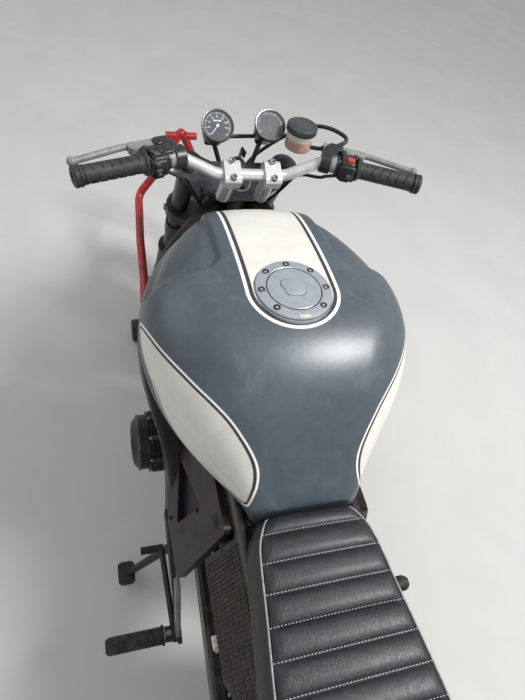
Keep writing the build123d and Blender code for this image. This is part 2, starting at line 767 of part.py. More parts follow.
def swing_leg(side):
    with BuildPart() as leg:
        for share, height, width in ((0.0, 58.0, 30.0), (0.55, 66.0, arm_t), (0.93, 44.0, arm_t)):
            with BuildSketch(Plane(origin=pivot_at + side_x * side * (arm_end_x - 6 * (1 - share))
                                   + (rear_axle - pivot_at) * share, x_dir=(1, 0, 0), z_dir=arm_way)):
                RectangleRounded(width, height, 8)
        loft()
        with BuildSketch(Plane(origin=rear_axle + side_x * side * arm_end_x - arm_way * 60,
                               x_dir=(1, 0, 0), z_dir=arm_way)):
            RectangleRounded(arm_t - 6, 44, 4)
        extrude(amount=98)
    return leg.part


with BuildPart() as swingarm:
    add(swing_leg(1))
    add(swing_leg(-1))
    with BuildSketch(side_plane(-arm_inner_x - 8, pivot_y, pivot_z)):
        Circle(pivot_tube_r + 4)
    extrude(amount=2 * arm_inner_x + 16)
    with BuildSketch(side_plane(-arm_inner_x - 4, pivot_y - 118, pivot_z - 12)):
        RectangleRounded(54, 44, 10)
    extrude(amount=2 * arm_inner_x + 8)
    with BuildSketch(side_plane(chain_x - chain_t / 2 - 6, pivot_y - 118, pivot_z - 12)):
        Rectangle(70, 70)
    extrude(amount=chain_t + 12, mode=Mode.SUBTRACT)
    with BuildSketch(side_plane(-arm_end_x - 30, rear_axle_y, rear_axle_z)):
        Circle(rear_axle_r)
    extrude(amount=2 * arm_end_x + 60, mode=Mode.SUBTRACT)
    with BuildSketch(side_plane(-arm_end_x - 30, pivot_y, pivot_z)):
        Circle(9)
    extrude(amount=2 * arm_end_x + 60, mode=Mode.SUBTRACT)
save("swingarm", swingarm.part)

rear_axle_half = arm_end_x + arm_t / 2 + 12
with BuildPart() as rear_axle_pin:
    with BuildSketch(side_plane(-rear_axle_half, rear_axle_y, rear_axle_z)):
        Circle(rear_axle_r)
    extrude(amount=2 * rear_axle_half)
    for side in (-1, 1):
        with BuildSketch(side_plane(side * (arm_end_x + arm_t / 2 - 2), rear_axle_y, rear_axle_z)):
            RegularPolygon(15, 6)
        extrude(amount=side * 12)

pivot_half = plate_mid_x + plate_width / 2 + 8
with BuildPart() as pivot_bolt:
    with BuildSketch(side_plane(-pivot_half, pivot_y, pivot_z)):
        Circle(9)
    extrude(amount=2 * pivot_half)
    for side in (-1, 1):
        with BuildSketch(side_plane(side * (pivot_half - 8), pivot_y, pivot_z)):
            RegularPolygon(14, 6)
        extrude(amount=side * 12)
    for neighbour in (spar.part, spar.part.mirror(Plane.YZ)):
        add(neighbour, mode=Mode.SUBTRACT)
save("rear_axle_and_pivot", rear_axle_pin.part, pivot_bolt.part)

# Chain: one closed run from the gearbox sprocket to the rear one
front_sprocket = Vector(chain_x, pivot_y + front_sprocket_ahead, pivot_z + 6)
chain_gap = 0.4


def chain_band(grow):
    with BuildSketch(side_plane(chain_x - chain_t / 2)) as band:
        with Locations((front_sprocket.Y, front_sprocket.Z)):
            Circle(front_sprocket_r + grow)
        with Locations((rear_axle_y, rear_axle_z)):
            Circle(rear_sprocket_r + grow)
        make_hull()
    return band.sketch


outer_band = chain_band(chain_gap + chain_h)
inner_band = chain_band(chain_gap)
with BuildPart() as chain:
    extrude(outer_band, amount=chain_t)
    extrude(inner_band, amount=chain_t, mode=Mode.SUBTRACT)

# Engine: crankcase, leaning block, head and cover
sump_z = pivot_z - 168.0
case_rear_y = pivot_y + 38.0
gearbox_half, gearbox_length = 104.0, 104.0
with BuildPart() as crankcase:
    with BuildSketch(side_plane(-crankcase_half)):
        Polygon((case_rear_y, pivot_z - 96), (case_rear_y, pivot_z + 52), (case_rear_y + 60, pivot_z + 96),
                (case_rear_y + 150, pivot_z + 104), (case_rear_y + 290, pivot_z + 34),
                (case_rear_y + 322, pivot_z - 40), (case_rear_y + 290, pivot_z - 96), align=None)
        fillet(vertices(), 20)
    extrude(amount=2 * crankcase_half)
    with BuildSketch(side_plane(chain_x + 14, front_sprocket.Y, front_sprocket.Z)):
        Circle(front_sprocket_r + chain_h + 18)
        with Locations((-60, -12)):
            Rectangle(120, 2 * (front_sprocket_r + chain_h) + 34)
    extrude(amount=-crankcase_half, mode=Mode.SUBTRACT)
    for side in (-1, 1):
        with BuildSketch(side_plane(side * gearbox_half, case_rear_y - 10, pivot_z - 120)):
            Rectangle(gearbox_length + 10, 400, align=(Align.MIN, Align.MIN))
        extrude(amount=side * crankcase_half, mode=Mode.SUBTRACT)
        with BuildSketch(side_plane(side * (gearbox_half - 24), pivot_y + 66, pivot_z + 72)):
            Circle(13)
        extrude(amount=side * 80)
    for neighbour in both_sides(spar.part):
        add(neighbour, mode=Mode.SUBTRACT)

with BuildPart() as sump:
    with BuildSketch(Plane(origin=(0, case_rear_y + 136, pivot_z - 96), z_dir=(0, 0, -1))):
        RectangleRounded(2 * gearbox_half - 20, 230, 24)
    with BuildSketch(Plane(origin=(0, case_rear_y + 116, sump_z), z_dir=(0, 0, -1))):
        RectangleRounded(140, 160, 20)
    loft()
with BuildPart() as lower_engine:
    add(crankcase.part.solids().sort_by(SortBy.VOLUME)[-1])
    add(sump.part)
save("crankcase", lower_engine.part)


def bank_section(up, grow=0.0):
    return Plane(origin=bank_foot + bank_up * up, x_dir=(1, 0, 0), z_dir=bank_up)


fin_pitch, fin_t = 14.0, 3.0
with BuildPart() as cylinder_block:
    with BuildSketch(bank_section(28)):
        RectangleRounded(2 * cylinder_half - 12, bank_depth - 12, 14)
    extrude(amount=block_h - 28)
    for step in range(5):
        with BuildSketch(bank_section(36 + step * fin_pitch)):
            RectangleRounded(2 * cylinder_half, bank_depth, 18)
        extrude(amount=fin_t)
    add(crankcase.part, mode=Mode.SUBTRACT)
save("cylinder_block", cylinder_block.part)

with BuildPart() as cylinder_head:
    with BuildSketch(bank_section(block_h)):
        RectangleRounded(2 * cylinder_half + 8, bank_depth + 22, 16)
    extrude(amount=head_h)
    with BuildSketch(bank_section(block_h + head_h)):
        RectangleRounded(2 * cylinder_half + 16, bank_depth + 34, 18)
    with BuildSketch(bank_section(block_h + head_h + cover_h)):
        RectangleRounded(2 * cylinder_half - 16, bank_depth - 6, 26)
    loft()
    for side in (-1, 1):
        with BuildSketch(side_plane(side * (cylinder_half - 10), hanger_bolt.Y, hanger_bolt.Z)):
            Circle(13)
        extrude(amount=side * (hanger_x - 4 - cylinder_half + 10))
save("cylinder_head", cylinder_head.part)

crank_at = Vector(0, case_rear_y + 222, pivot_z + 6)
engine_covers = []
for side, outer, reach, back in ((-1, 66.0, side_cover_out + 8, 38.0), (1, 92.0, side_cover_out - 20, 92.0)):
    at_y = crank_at.Y - back
    with BuildPart() as side_cover:
        with BuildSketch(side_plane(side * crankcase_half, at_y, crank_at.Z)):
            Circle(outer)
        extrude(amount=side * (reach - crankcase_half - 12))
        with BuildSketch(side_plane(side * (reach - 12), at_y, crank_at.Z)):
            Circle(outer)
        with BuildSketch(side_plane(side * reach, at_y, crank_at.Z)):
            Circle(outer - 16)
        loft()
    engine_covers.append(side_cover.part)

with BuildPart() as sprocket_cover:
    with BuildSketch(side_plane(-gearbox_half - seat_gap, case_rear_y + gearbox_length - seat_gap,
                                front_sprocket.Z)):
        with Locations((-49, 0)):
            RectangleRounded(98, 154, 24)
    extrude(amount=-9)
    add(crankcase.part, mode=Mode.SUBTRACT)
save("engine_covers", *engine_covers, sprocket_cover.part)

with BuildPart() as gearbox_sprocket:
    with BuildSketch(side_plane(chain_x - 4, front_sprocket.Y, front_sprocket.Z)):
        Circle(front_sprocket_r - 4)
        with PolarLocations(front_sprocket_r - 3, 15):
            Trapezoid(7.0, 6, 65, rotation=-90)
    extrude(amount=8)
    with BuildSketch(side_plane(chain_x + 4, front_sprocket.Y, front_sprocket.Z)):
        Circle(14)
    extrude(amount=10)
save("drive_chain", chain.part, gearbox_sprocket.part)

# Radiator ahead of the head, with its hoses
radiator_y = front_axle_y - front_tyre_r - 22.0
radiator_z, radiator_h, radiator_half, radiator_t = head_mid.Z - 265, 180.0, 165.0, 28.0
radiator_stays = [rod((side * (radiator_half - 14), radiator_y, radiator_z + radiator_h / 2 - 6),
                      (side * 106, head_mid.Y - 86, head_mid.Z - 68), 6.0) for side in (-1, 1)]
with BuildPart() as radiator:
    with BuildSketch(Plane(origin=(0, radiator_y, radiator_z), x_dir=(1, 0, 0), z_dir=(0, 1, 0))):
        Rectangle(2 * radiator_half - 50, radiator_h - 16)
    extrude(amount=radiator_t / 2 - 4, both=True)
    for side in (-1, 1):
        with BuildSketch(Plane(origin=(side * (radiator_half - 15), radiator_y, radiator_z),
                               x_dir=(1, 0, 0), z_dir=(0, 1, 0))):
            RectangleRounded(30, radiator_h, 8)
        extrude(amount=radiator_t / 2, both=True)
    for up in (-1, 1):
        with BuildSketch(Plane(origin=(0, radiator_y, radiator_z + up * (radiator_h / 2 - 5)),
                               x_dir=(1, 0, 0), z_dir=(0, 1, 0))):
            Rectangle(2 * radiator_half - 52, 10)
        extrude(amount=radiator_t / 2, both=True)
    for row in range(11):
        with BuildSketch(Plane(origin=(0, radiator_y, radiator_z + (row - 5) * 14.0),
                               x_dir=(1, 0, 0), z_dir=(0, 1, 0))):
            Rectangle(2 * radiator_half - 52, 3)
        extrude(amount=radiator_t / 2 - 1, both=True)
    for stay in radiator_stays:
        add(stay)
    for neighbour in both_sides(spar.part):
        add(neighbour, mode=Mode.SUBTRACT)
save("radiator", radiator.part)

# Exhaust: four header pipes, a collector under the sump and one silencer on the right
header_r = 18.0
port_up = block_h + head_h * 0.45
port = bank_foot + bank_up * port_up + Vector(0, cos(lean), -sin(lean)) * (bank_depth / 2 + 11)
collect_at = Vector(70, case_rear_y + 40, sump_z + 8)
header_floor = sump_z - header_r - 4
headers = []
for row, x in enumerate((-117.0, -39.0, 39.0, 117.0)):
    low_x = -66.0 + row * 44.0
    headers.append(bent_tube([
        (x, port.Y, port.Z), (x, port.Y + 46, port.Z - 34), (x * 0.9, port.Y + 50, port.Z - 170),
        (low_x, crank_at.Y + 104, header_floor + 16), (low_x + 4, case_rear_y + 130, header_floor)],
        [26, 90, 60], header_r))
with BuildPart() as collector:
    with BuildSketch(Plane(origin=(0, case_rear_y + 130, header_floor), x_dir=(1, 0, 0), z_dir=(0, -1, 0))):
        RectangleRounded(2 * (66 + header_r), 2 * header_r, header_r - 1)
    with BuildSketch(Plane(origin=(60, case_rear_y - 20, header_floor + 4), x_dir=(1, 0, 0),
                           z_dir=(0, -1, 0))):
        RectangleRounded(58, 52, 25)
    loft()
silencer_r, silencer_l = 54.0, 400.0
silencer_front = Vector(206, pivot_y - 190, pivot_z - 126)
silencer_rear = Vector(222, pivot_y - 190 - silencer_l, pivot_z - 30)
silencer_way = (silencer_rear - silencer_front).normalized()
silencer_run = (silencer_rear - silencer_front).length
link_pipe = bent_tube([(60, case_rear_y - 19, header_floor + 4), (76, case_rear_y - 80, header_floor + 6),
                       (190, pivot_y - 120, pivot_z - 148), silencer_front + silencer_way * 2],
                      [50, 60], 24.0)
with BuildPart() as exhaust_pipes:
    for pipe in headers:
        add(pipe)
    add(collector.part)
    add(link_pipe)
    for neighbour in (cylinder_head.part, sump.part):
        add(neighbour, mode=Mode.SUBTRACT)
    with BuildSketch(Plane(origin=silencer_front + silencer_way * 2, z_dir=silencer_way)):
        Circle(60)
    extrude(amount=40, mode=Mode.SUBTRACT)
save("exhaust_pipes", exhaust_pipes.part)
with BuildPart() as silencer:
    for step, outer in ((0, 32.0), (46, silencer_r)):
        with BuildSketch(Plane(origin=silencer_front + silencer_way * (2 + step), z_dir=silencer_way)):
            Circle(outer)
    loft()
    with BuildSketch(Plane(origin=silencer_front + silencer_way * 48, z_dir=silencer_way)):
        Circle(silencer_r)
    extrude(amount=silencer_run - 70)
    with BuildSketch(Plane(origin=silencer_rear - silencer_way * 22, z_dir=silencer_way)):
        Circle(silencer_r - 12)
        Circle(silencer_r - 26, mode=Mode.SUBTRACT)
    extrude(amount=34)
save("silencer", silencer.part)

# Carburettors behind the head and the airbox above them
intake = bank_foot + bank_up * port_up - Vector(0, cos(lean), -sin(lean)) * (bank_depth / 2 + 11)
intake_way = Vector(0, -cos(lean * 0.8), sin(lean * 0.8))
with BuildPart() as carburettors:
    for x in (-117.0, -39.0, 39.0, 117.0):
        with BuildSketch(Plane(origin=intake + side_x * x, x_dir=(1, 0, 0), z_dir=intake_way)):
            Circle(21)
        extrude(amount=88)
        with BuildSketch(Plane(origin=intake + side_x * x + intake_way * 30, x_dir=(1, 0, 0),
                               z_dir=intake_way)):
            RectangleRounded(58, 74, 12)
        extrude(amount=40)
    with BuildSketch(Plane(origin=intake + intake_way * 44 + Vector(-120, 0, 0), x_dir=(0, 1, 0),
                           z_dir=(1, 0, 0))):
        Circle(12)
    extrude(amount=240)
    add(cylinder_head.part, mode=Mode.SUBTRACT)
save("carburettors", carburettors.part)
airbox_at = intake + intake_way * 88
with BuildPart() as airbox:
    with BuildSketch(Plane(origin=airbox_at, x_dir=(1, 0, 0), z_dir=intake_way)):
        RectangleRounded(252, 96, 18)
    with BuildSketch(Plane(origin=airbox_at + intake_way * 96, x_dir=(1, 0, 0), z_dir=intake_way)):
        RectangleRounded(212, 80, 18)
    loft()
save("airbox", airbox.part)

# Fuel tank: sections along Y, each a half-width, low edge, widest height, shoulder and top
tank_front_y = head_mid.Y - 150.0
tank_length = 545.0
# share of length, half width, top half width, bottom z, widest z, top z
tank_table = [
    (0.00, 98.0, 70.0, 858.0, 896.0, 940.0),
    (0.07, 146.0, 90.0, 828.0, 884.0, 968.0),
    (0.30, 221.0, 124.0, 790.0, 866.0, 993.0),
    (0.56, tank_half, 128.0, 764.0, 854.0, tank_top_z - 5),
    (0.76, 176.0, 96.0, 738.0, 826.0, 950.0),
    (0.90, 116.0, 66.0, 728.0, 798.0, 868.0),
    (1.00, 90.0, 58.0, 740.0, 772.0, 806.0),
]
with BuildPart() as fuel_tank:
    for share, half, top_half, low, wide, top in tank_table:
        with BuildSketch(Plane(origin=(0, tank_front_y - share * tank_length, 0), x_dir=(1, 0, 0),
                               z_dir=(0, -1, 0))):
            with BuildLine():
                Line((-half * 0.86, low), (half * 0.86, low))
                ThreePointArc((half * 0.86, low), (half * 0.975, low * 0.55 + wide * 0.45),
                              (half, wide))
                ThreePointArc((half, wide), (half * 0.84 + top_half * 0.10, wide * 0.36 + top * 0.64),
                              (top_half, top - 7))
                ThreePointArc((top_half, top - 7), (0, top), (-top_half, top - 7))
                ThreePointArc((-top_half, top - 7),
                              (-half * 0.84 - top_half * 0.10, wide * 0.36 + top * 0.64), (-half, wide))
                ThreePointArc((-half, wide), (-half * 0.975, low * 0.55 + wide * 0.45),
                              (-half * 0.86, low))
            make_face()
    loft()
save("fuel_tank", fuel_tank.part)

# Rear frame plates lean in towards the tank; each is joined to its spar
plate_x0, plate_z0, plate_lean, plate_t = 190.0, 500.0, 0.30, 14.0
lean_run = sqrt(1 + plate_lean**2)
plate_plane = Plane(origin=(plate_x0, 0, plate_z0), x_dir=(0, 1, 0), z_dir=(1, 0, plate_lean))


def on_plate(*corners):
    return [(y, (z - plate_z0) * lean_run) for y, z in corners]


with BuildPart() as frame_side:
    with BuildSketch(plate_plane):
        Polygon(*on_plate((-20, 575), (-228, 503), (-342, 513), (-338, 730), (-230, 726), (-100, 752), (-6, 690)),
                align=None)
        fillet(vertices(), 12)
        Polygon(*on_plate((-136, 602), (-262, 660), (-248, 548)), align=None, mode=Mode.SUBTRACT)
        with Locations(on_plate((-306, 700))[0]):
            Circle(9, mode=Mode.SUBTRACT)
    extrude(amount=plate_t / 2, both=True)
    add(spar_with_hanger.part)
    add(fuel_tank.part, mode=Mode.SUBTRACT)
save("frame_spars", *both_sides(frame_side.part))

# Filler cap: screwed ring and lid, set on the tank's top
cap_y = tank_front_y - 0.493 * tank_length
cap_base = tank_top_z - 6.0
cap_plane = Plane(origin=(0, cap_y, cap_base), z_dir=(0, 0, 1))
with BuildPart() as filler_cap:
    with BuildSketch(cap_plane):
        Circle(cap_r)
    extrude(amount=9)
    with BuildSketch(cap_plane.offset(9)):
        Circle(cap_r * 0.74)
        Circle(cap_r * 0.72, mode=Mode.SUBTRACT)
    extrude(amount=-1.5, mode=Mode.SUBTRACT)
save("filler_cap", filler_cap.part)
with BuildPart() as tank_with_neck:
    add(fuel_tank.part)
    with BuildSketch(cap_plane):
        Circle(cap_r + running_gap)
    extrude(amount=40, mode=Mode.SUBTRACT)
save("fuel_tank", tank_with_neck.part)

# Seat: pan and ribbed cushion
seat_front_y = tank_front_y - tank_length - 4.0
seat_base_z = seat_top_z - cushion_t
seat_rear_y = seat_front_y - seat_length
# share of length, half width, top z above the base
seat_table = [(0.0, seat_front_half - 30, 38.0), (0.04, seat_front_half - 8, cushion_t - 3),
              (0.10, seat_front_half + 2, cushion_t), (0.42, 116.0, cushion_t - 2),
              (0.74, seat_rear_half, cushion_t), (0.93, 120.0, cushion_t + 6), (1.0, 90.0, cushion_t - 2)]
seat_layers = []
for name, low, thick in (("seat_pan", seat_base_z - pan_t - seat_gap, pan_t), ("seat_cushion", seat_base_z, None)):
    with BuildPart() as layer:
        for share, half, rise in seat_table:
            tall = rise if thick is None else thick
            with BuildSketch(Plane(origin=(0, seat_front_y - share * seat_length, low + tall / 2),
                                   x_dir=(1, 0, 0), z_dir=(0, -1, 0))):
                top_half = half if thick is None else half + seat_flare - 4
                foot_half = half + seat_flare
                Polygon((-foot_half, -tall / 2), (foot_half, -tall / 2), (top_half, tall / 2),
                        (-top_half, tall / 2), align=None)
                fillet(vertices().group_by(Axis.Z)[-1], 14 if thick is None else 3)
        loft(ruled=thick is not None)
    seat_layers.append(layer.part)
    save(name, layer.part)

# Subframe: two rails joined by a hoop behind the seat, with stays down to the pivot area
rail_r = 12.0
rail_x = 102.0
rail_z = seat_base_z - pan_t - rail_r - 2 * seat_gap
hoop_y, hoop_z = seat_rear_y - rail_r - 36, rail_z + 26
rear_rail = bent_tube([
    (-rail_x, pivot_y + 30, rail_z), (-rail_x, seat_rear_y + 4, rail_z),
    (-rail_x + 16, hoop_y, hoop_z), (rail_x - 16, hoop_y, hoop_z),
    (rail_x, seat_rear_y + 4, rail_z), (rail_x, pivot_y + 30, rail_z)], [24, 20, 20, 24], rail_r)
stays = []
for side in (-1, 1):
    stays.append(rod((side * 124, pivot_y + 4, pivot_z + 118), (side * rail_x, seat_front_y - 250, rail_z), 9))
    stays.append(rod((side * rail_x, pivot_y + 34, rail_z), (side * 150, pivot_y + 66, pivot_z + 168), 11))
cross_one = rod((-rail_x, seat_front_y - 90, rail_z), (rail_x, seat_front_y - 90, rail_z), 9)
cross_two = rod((-rail_x, seat_front_y + 44, rail_z), (rail_x, seat_front_y + 44, rail_z), 9)
with BuildPart() as subframe:
    add(rear_rail)
    for stay in stays:
        add(stay)
    add(cross_one)
    add(cross_two)
    with BuildSketch(Plane(origin=(0, seat_front_y + 44, rail_z))):
        Rectangle(70, 26)
    extrude(amount=30)
    for neighbour in (*both_sides(frame_side.part), fuel_tank.part, seat_layers[0]):
        add(neighbour, mode=Mode.SUBTRACT)
save("subframe", subframe.part)

# Ribbed side panels lean out from the rails under the seat
panel_t, rib_t, rib_count = 4.0, 2.5, 24
panel_length, panel_h = 258.0, 104.0
panel_mid = Vector(130, seat_front_y - 136, rail_z - 44)
panel_plane = Plane(origin=panel_mid, x_dir=(0, 1, 0), z_dir=(0.922, 0, 0.388))
panel_boss = rod(panel_mid, (rail_x, panel_mid.Y, rail_z), 6.0)
with BuildPart() as side_panel:
    with BuildSketch(panel_plane):
        Polygon((-panel_length / 2, 10), (-panel_length / 2, panel_h / 2), (panel_length / 2, panel_h / 2),
                (panel_length / 2, -panel_h / 2), (-panel_length / 2 + 70, -panel_h / 2), align=None)
    extrude(amount=panel_t)
    with BuildSketch(panel_plane.offset(panel_t)):
        with Locations((34, 0)):
            with GridLocations(panel_length / (rib_count + 4), 0, rib_count - 8, 1):
                Rectangle(4.0, panel_h - 12)
    extrude(amount=rib_t)
    add(panel_boss)
    for neighbour in (subframe.part, seat_layers[0], frame_side.part):
        add(neighbour, mode=Mode.SUBTRACT)
save("side_panels", *both_sides(side_panel.part))

# Tail lamp in the hoop
with BuildPart() as tail_lamp:
    with BuildSketch(Plane(origin=(0, hoop_y - rail_r + 3, hoop_z), x_dir=(1, 0, 0),
                           z_dir=(0, -1, 0))):
        RectangleRounded(132, 22, 9)
    extrude(amount=14)
    add(subframe.part, mode=Mode.SUBTRACT)
save("tail_lamp", tail_lamp.part)

# Rear mudguard under the seat, between the rails
with BuildPart() as rear_mudguard:
    with BuildSketch(side_plane(-74)):
        with BuildLine():
            near, far = rear_tyre_r + 74, rear_tyre_r + 78
            arc_in = CenterArc((rear_axle_y, rear_axle_z), near, 62, 66)
            arc_out = CenterArc((rear_axle_y, rear_axle_z), far, 62, 66)
            Line(arc_in @ 0, arc_out @ 0)
            Line(arc_in @ 1, arc_out @ 1)
        make_face()
    extrude(amount=148)
    with BuildSketch(Plane(origin=(0, rear_axle_y + 24, rail_z - rail_r - seat_gap), z_dir=(0, 0, -1))):
        Rectangle(2 * rail_x + 20, 30)
    extrude(amount=3)
    with BuildSketch(Plane(origin=(0, rear_axle_y + 24, rail_z - rail_r - seat_gap), z_dir=(0, 0, -1))):
        Rectangle(120, 30)
    extrude(amount=rail_z - rail_r - rear_axle_z - far + 8)
save("rear_mudguard", rear_mudguard.part)

# Shock absorber between the swingarm and the frame
shock_low = Vector(0, pivot_y - 60, pivot_z - 46)
shock_high = Vector(0, pivot_y - 20, pivot_z + 218)
shock_way = (shock_high - shock_low).normalized()
with BuildPart() as shock_absorber:
    with BuildSketch(Plane(origin=shock_low, x_dir=(1, 0, 0), z_dir=shock_way)):
        Circle(16)
    extrude(amount=(shock_high - shock_low).length)
    for step in range(7):
        with BuildSketch(Plane(origin=shock_low + shock_way * (66 + step * 20), x_dir=(1, 0, 0),
                               z_dir=shock_way)):
            Circle(30)
        extrude(amount=11)
    add(swingarm.part, mode=Mode.SUBTRACT)
save("shock_absorber", shock_absorber.part)

# Footpegs on their plates, gear lever and brake pedal
peg_y, peg_z = pivot_y - 208.0, pivot_z + 0.0
peg_in, peg_out = 216.0, 332.0
plate_x = 186.0
peg_r = 12.0


def peg_set(side):
    with BuildPart() as pegs:
        with BuildSketch(side_plane(side * plate_x, 0, 0)):
            Polygon((pivot_y + 20, pivot_z + 78), (pivot_y - 20, pivot_z + 84), (peg_y - 26, peg_z + 10),
                    (peg_y - 10, peg_z - 22), (peg_y + 26, peg_z - 16), (pivot_y + 24, pivot_z + 40), align=None)
            fillet(vertices(), 8)
        extrude(amount=side * 8)
        with BuildSketch(side_plane(side * (plate_x + 7), peg_y, peg_z)):
            Circle(9)
        extrude(amount=side * (peg_in - plate_x - 6))
        with BuildSketch(side_plane(side * peg_in, peg_y, peg_z)):
            Circle(peg_r)
        extrude(amount=side * (peg_out - peg_in))
        with BuildSketch(side_plane(side * 160, pivot_y + 4, pivot_z + 62)):
            Circle(9)
        extrude(amount=side * (plate_x - 159))
        add(spar.part if side > 0 else spar.part.mirror(Plane.YZ), mode=Mode.SUBTRACT)
    return pegs.part


save("footpegs", peg_set(1), peg_set(-1))

pedal_length = 184.0
with BuildPart() as gear_lever:
    with BuildSketch(side_plane(-(plate_x + 8.3), peg_y, peg_z)):
        Circle(17)
        Circle(9.3, mode=Mode.SUBTRACT)
    extrude(amount=-9)
    add(rod((-(plate_x + 13), peg_y + 17, peg_z - 8), (-(plate_x + 16), peg_y + pedal_length, peg_z - 44), 6.5))
    add(rod((-(plate_x + 12), peg_y + pedal_length, peg_z - 44), (-(plate_x + 62), peg_y + pedal_length, peg_z - 44), 8.5))
    add(peg_set(-1), mode=Mode.SUBTRACT)
with BuildPart() as brake_pedal:
    with BuildSketch(side_plane(plate_x + 8.3, peg_y, peg_z)):
        Circle(17)
        Circle(9.3, mode=Mode.SUBTRACT)
    extrude(amount=9)
    add(rod((plate_x + 13, peg_y + 17, peg_z - 8), (plate_x + 20, peg_y + pedal_length, peg_z - 50), 6.5))
    add(rod((plate_x + 14, peg_y + pedal_length, peg_z - 50), (plate_x + 58, peg_y + pedal_length, peg_z - 50), 9.0))
    add(peg_set(1), mode=Mode.SUBTRACT)
save("foot_levers", gear_lever.part, brake_pedal.part)

# Side stand, swung down; its foot stays just off the floor while the front stand holds the bike
stand_pivot = Vector(-126, pivot_y + 14, pivot_z - 104)
stand_foot = Vector(-272, pivot_y + 14, 44)
stand_way = (stand_foot - stand_pivot).normalized()
stand_folded = Vector(-0.2, -0.975, 0.05).normalized()
stand_hinge = stand_way.cross(stand_folded).normalized()
eye_half, eye_r, hinge_pin_r, ear_t = 10.0, 15.0, 6.0, 7.0
with BuildPart() as side_stand:
    with BuildSketch(Plane(origin=stand_pivot + stand_way * 10, z_dir=stand_way)):
        Circle(eye_half - 2)
    with BuildSketch(Plane(origin=stand_pivot + stand_way * 50, z_dir=stand_way)):
        Circle(side_stand_r)
    with BuildSketch(Plane(origin=stand_foot, z_dir=stand_way)):
        Circle(side_stand_r - 3)
    loft(ruled=True)
    with BuildSketch(Plane(origin=stand_pivot - stand_hinge * eye_half, z_dir=stand_hinge)):
        Circle(eye_r)
    extrude(amount=2 * eye_half)
    with BuildSketch(Plane(origin=stand_pivot - stand_hinge * 30, z_dir=stand_hinge)):
        Circle(hinge_pin_r + running_gap)
    extrude(amount=60, mode=Mode.SUBTRACT)
    with BuildSketch(Plane(origin=stand_foot + Vector(-8, 0, -2), z_dir=(0, 0, -1))):
        RectangleRounded(44, 60, 12)
    extrude(amount=7)
save("side_stand", side_stand.part)

ear_at = stand_pivot + stand_hinge * (eye_half + 0.4)
lug = rod(ear_at + stand_hinge * ear_t, (-plate_mid_x + 4, pivot_y + 34, pivot_z - 30), 8.0)
with BuildPart() as stand_bracket:
    with BuildSketch(Plane(origin=ear_at, z_dir=stand_hinge)):
        Circle(eye_r + 2)
    extrude(amount=ear_t)
    with BuildSketch(Plane(origin=ear_at, z_dir=stand_hinge)):
        Circle(hinge_pin_r)
    extrude(amount=-2 * eye_half - 4)
    with BuildSketch(Plane(origin=stand_pivot - stand_hinge * (eye_half + 0.4), z_dir=stand_hinge)):
        Circle(hinge_pin_r + 4)
    extrude(amount=-4)
    add(lug)
    for neighbour in both_sides(spar.part):
        add(neighbour, mode=Mode.SUBTRACT)
save("side_stand_bracket", stand_bracket.part)

# Rear caliper on the right arm
with BuildPart() as rear_caliper:
    with BuildSketch(side_plane(rear_disc_x - 26, rear_axle_y + rear_disc_r - 16, rear_axle_z + 60)):
        RectangleRounded(78, 52, 12)
    extrude(amount=52)
    add(swingarm.part, mode=Mode.SUBTRACT)
    with BuildSketch(side_plane(rear_hub_half - disc_clear, rear_axle_y, rear_axle_z)):
        Circle(rear_disc_r + disc_clear)
    extrude(amount=disc_t + 2 * disc_clear, mode=Mode.SUBTRACT)
save("rear_caliper", rear_caliper.part)
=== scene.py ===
import math

import bmesh
import bpy
from mathutils import Matrix, Vector
from mathutils.bvhtree import BVHTree


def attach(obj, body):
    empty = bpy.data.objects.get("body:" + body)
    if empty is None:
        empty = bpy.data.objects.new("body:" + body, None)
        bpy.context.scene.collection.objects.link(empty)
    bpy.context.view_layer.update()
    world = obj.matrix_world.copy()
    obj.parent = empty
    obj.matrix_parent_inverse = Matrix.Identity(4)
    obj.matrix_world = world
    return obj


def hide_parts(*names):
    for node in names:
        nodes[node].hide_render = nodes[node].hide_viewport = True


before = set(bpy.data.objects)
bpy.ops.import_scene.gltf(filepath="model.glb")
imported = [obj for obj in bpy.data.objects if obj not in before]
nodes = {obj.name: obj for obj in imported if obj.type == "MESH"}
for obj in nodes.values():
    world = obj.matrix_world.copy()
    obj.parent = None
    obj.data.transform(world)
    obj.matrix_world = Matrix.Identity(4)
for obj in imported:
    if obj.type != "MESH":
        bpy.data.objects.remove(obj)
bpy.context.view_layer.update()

# camera first: the photo looks down over the seat towards the bars
view = {"place": (-0.290, -0.597, 1.578), "turn": (37.949, -10.706, -13.155), "lens": 27.12}
camera = bpy.data.objects.new("photoCamera", bpy.data.cameras.new("photoCamera"))
camera.location = view["place"]
camera.rotation_euler = [math.radians(a) for a in view["turn"]]
camera.data.lens = view["lens"]
camera.data.sensor_width = 36
camera.data.clip_start = 0.02
bpy.context.scene.collection.objects.link(camera)
bpy.context.scene.camera = camera

# fork frame, as the solids have it
frontAxle = Vector((0, 0.650, 0.300))
rake = math.radians(25)
forkUp = Vector((0, -math.sin(rake), math.cos(rake)))
forkFore = Vector((0, math.cos(rake), math.sin(rake)))
barBend, barTip = Vector((0.140, 0.2514, 1.0242)), Vector((0.318, 0.1854, 1.0242))


def onFork(x, fore, up):
    return frontAxle + Vector((x, 0, 0)) + forkFore * fore + forkUp * up


def tint(red, green, blue):
    levels = [c / 255 for c in (red, green, blue)]
    return tuple(((c + 0.055) / 1.055) ** 2.4 if c > 0.04 else c / 12.92 for c in levels) + (1.0,)


def facing(place, way, across=(1, 0, 0)):
    up = Vector(way).normalized()
    side = (Vector(across) - up * Vector(across).dot(up)).normalized()
    turned = Matrix((side, up.cross(side), up)).transposed().to_4x4()
    return Matrix.Translation(Vector(place)) @ turned


# shader groups
socketKinds = {1: "NodeSocketFloat", 3: "NodeSocketVector", 4: "NodeSocketColor"}


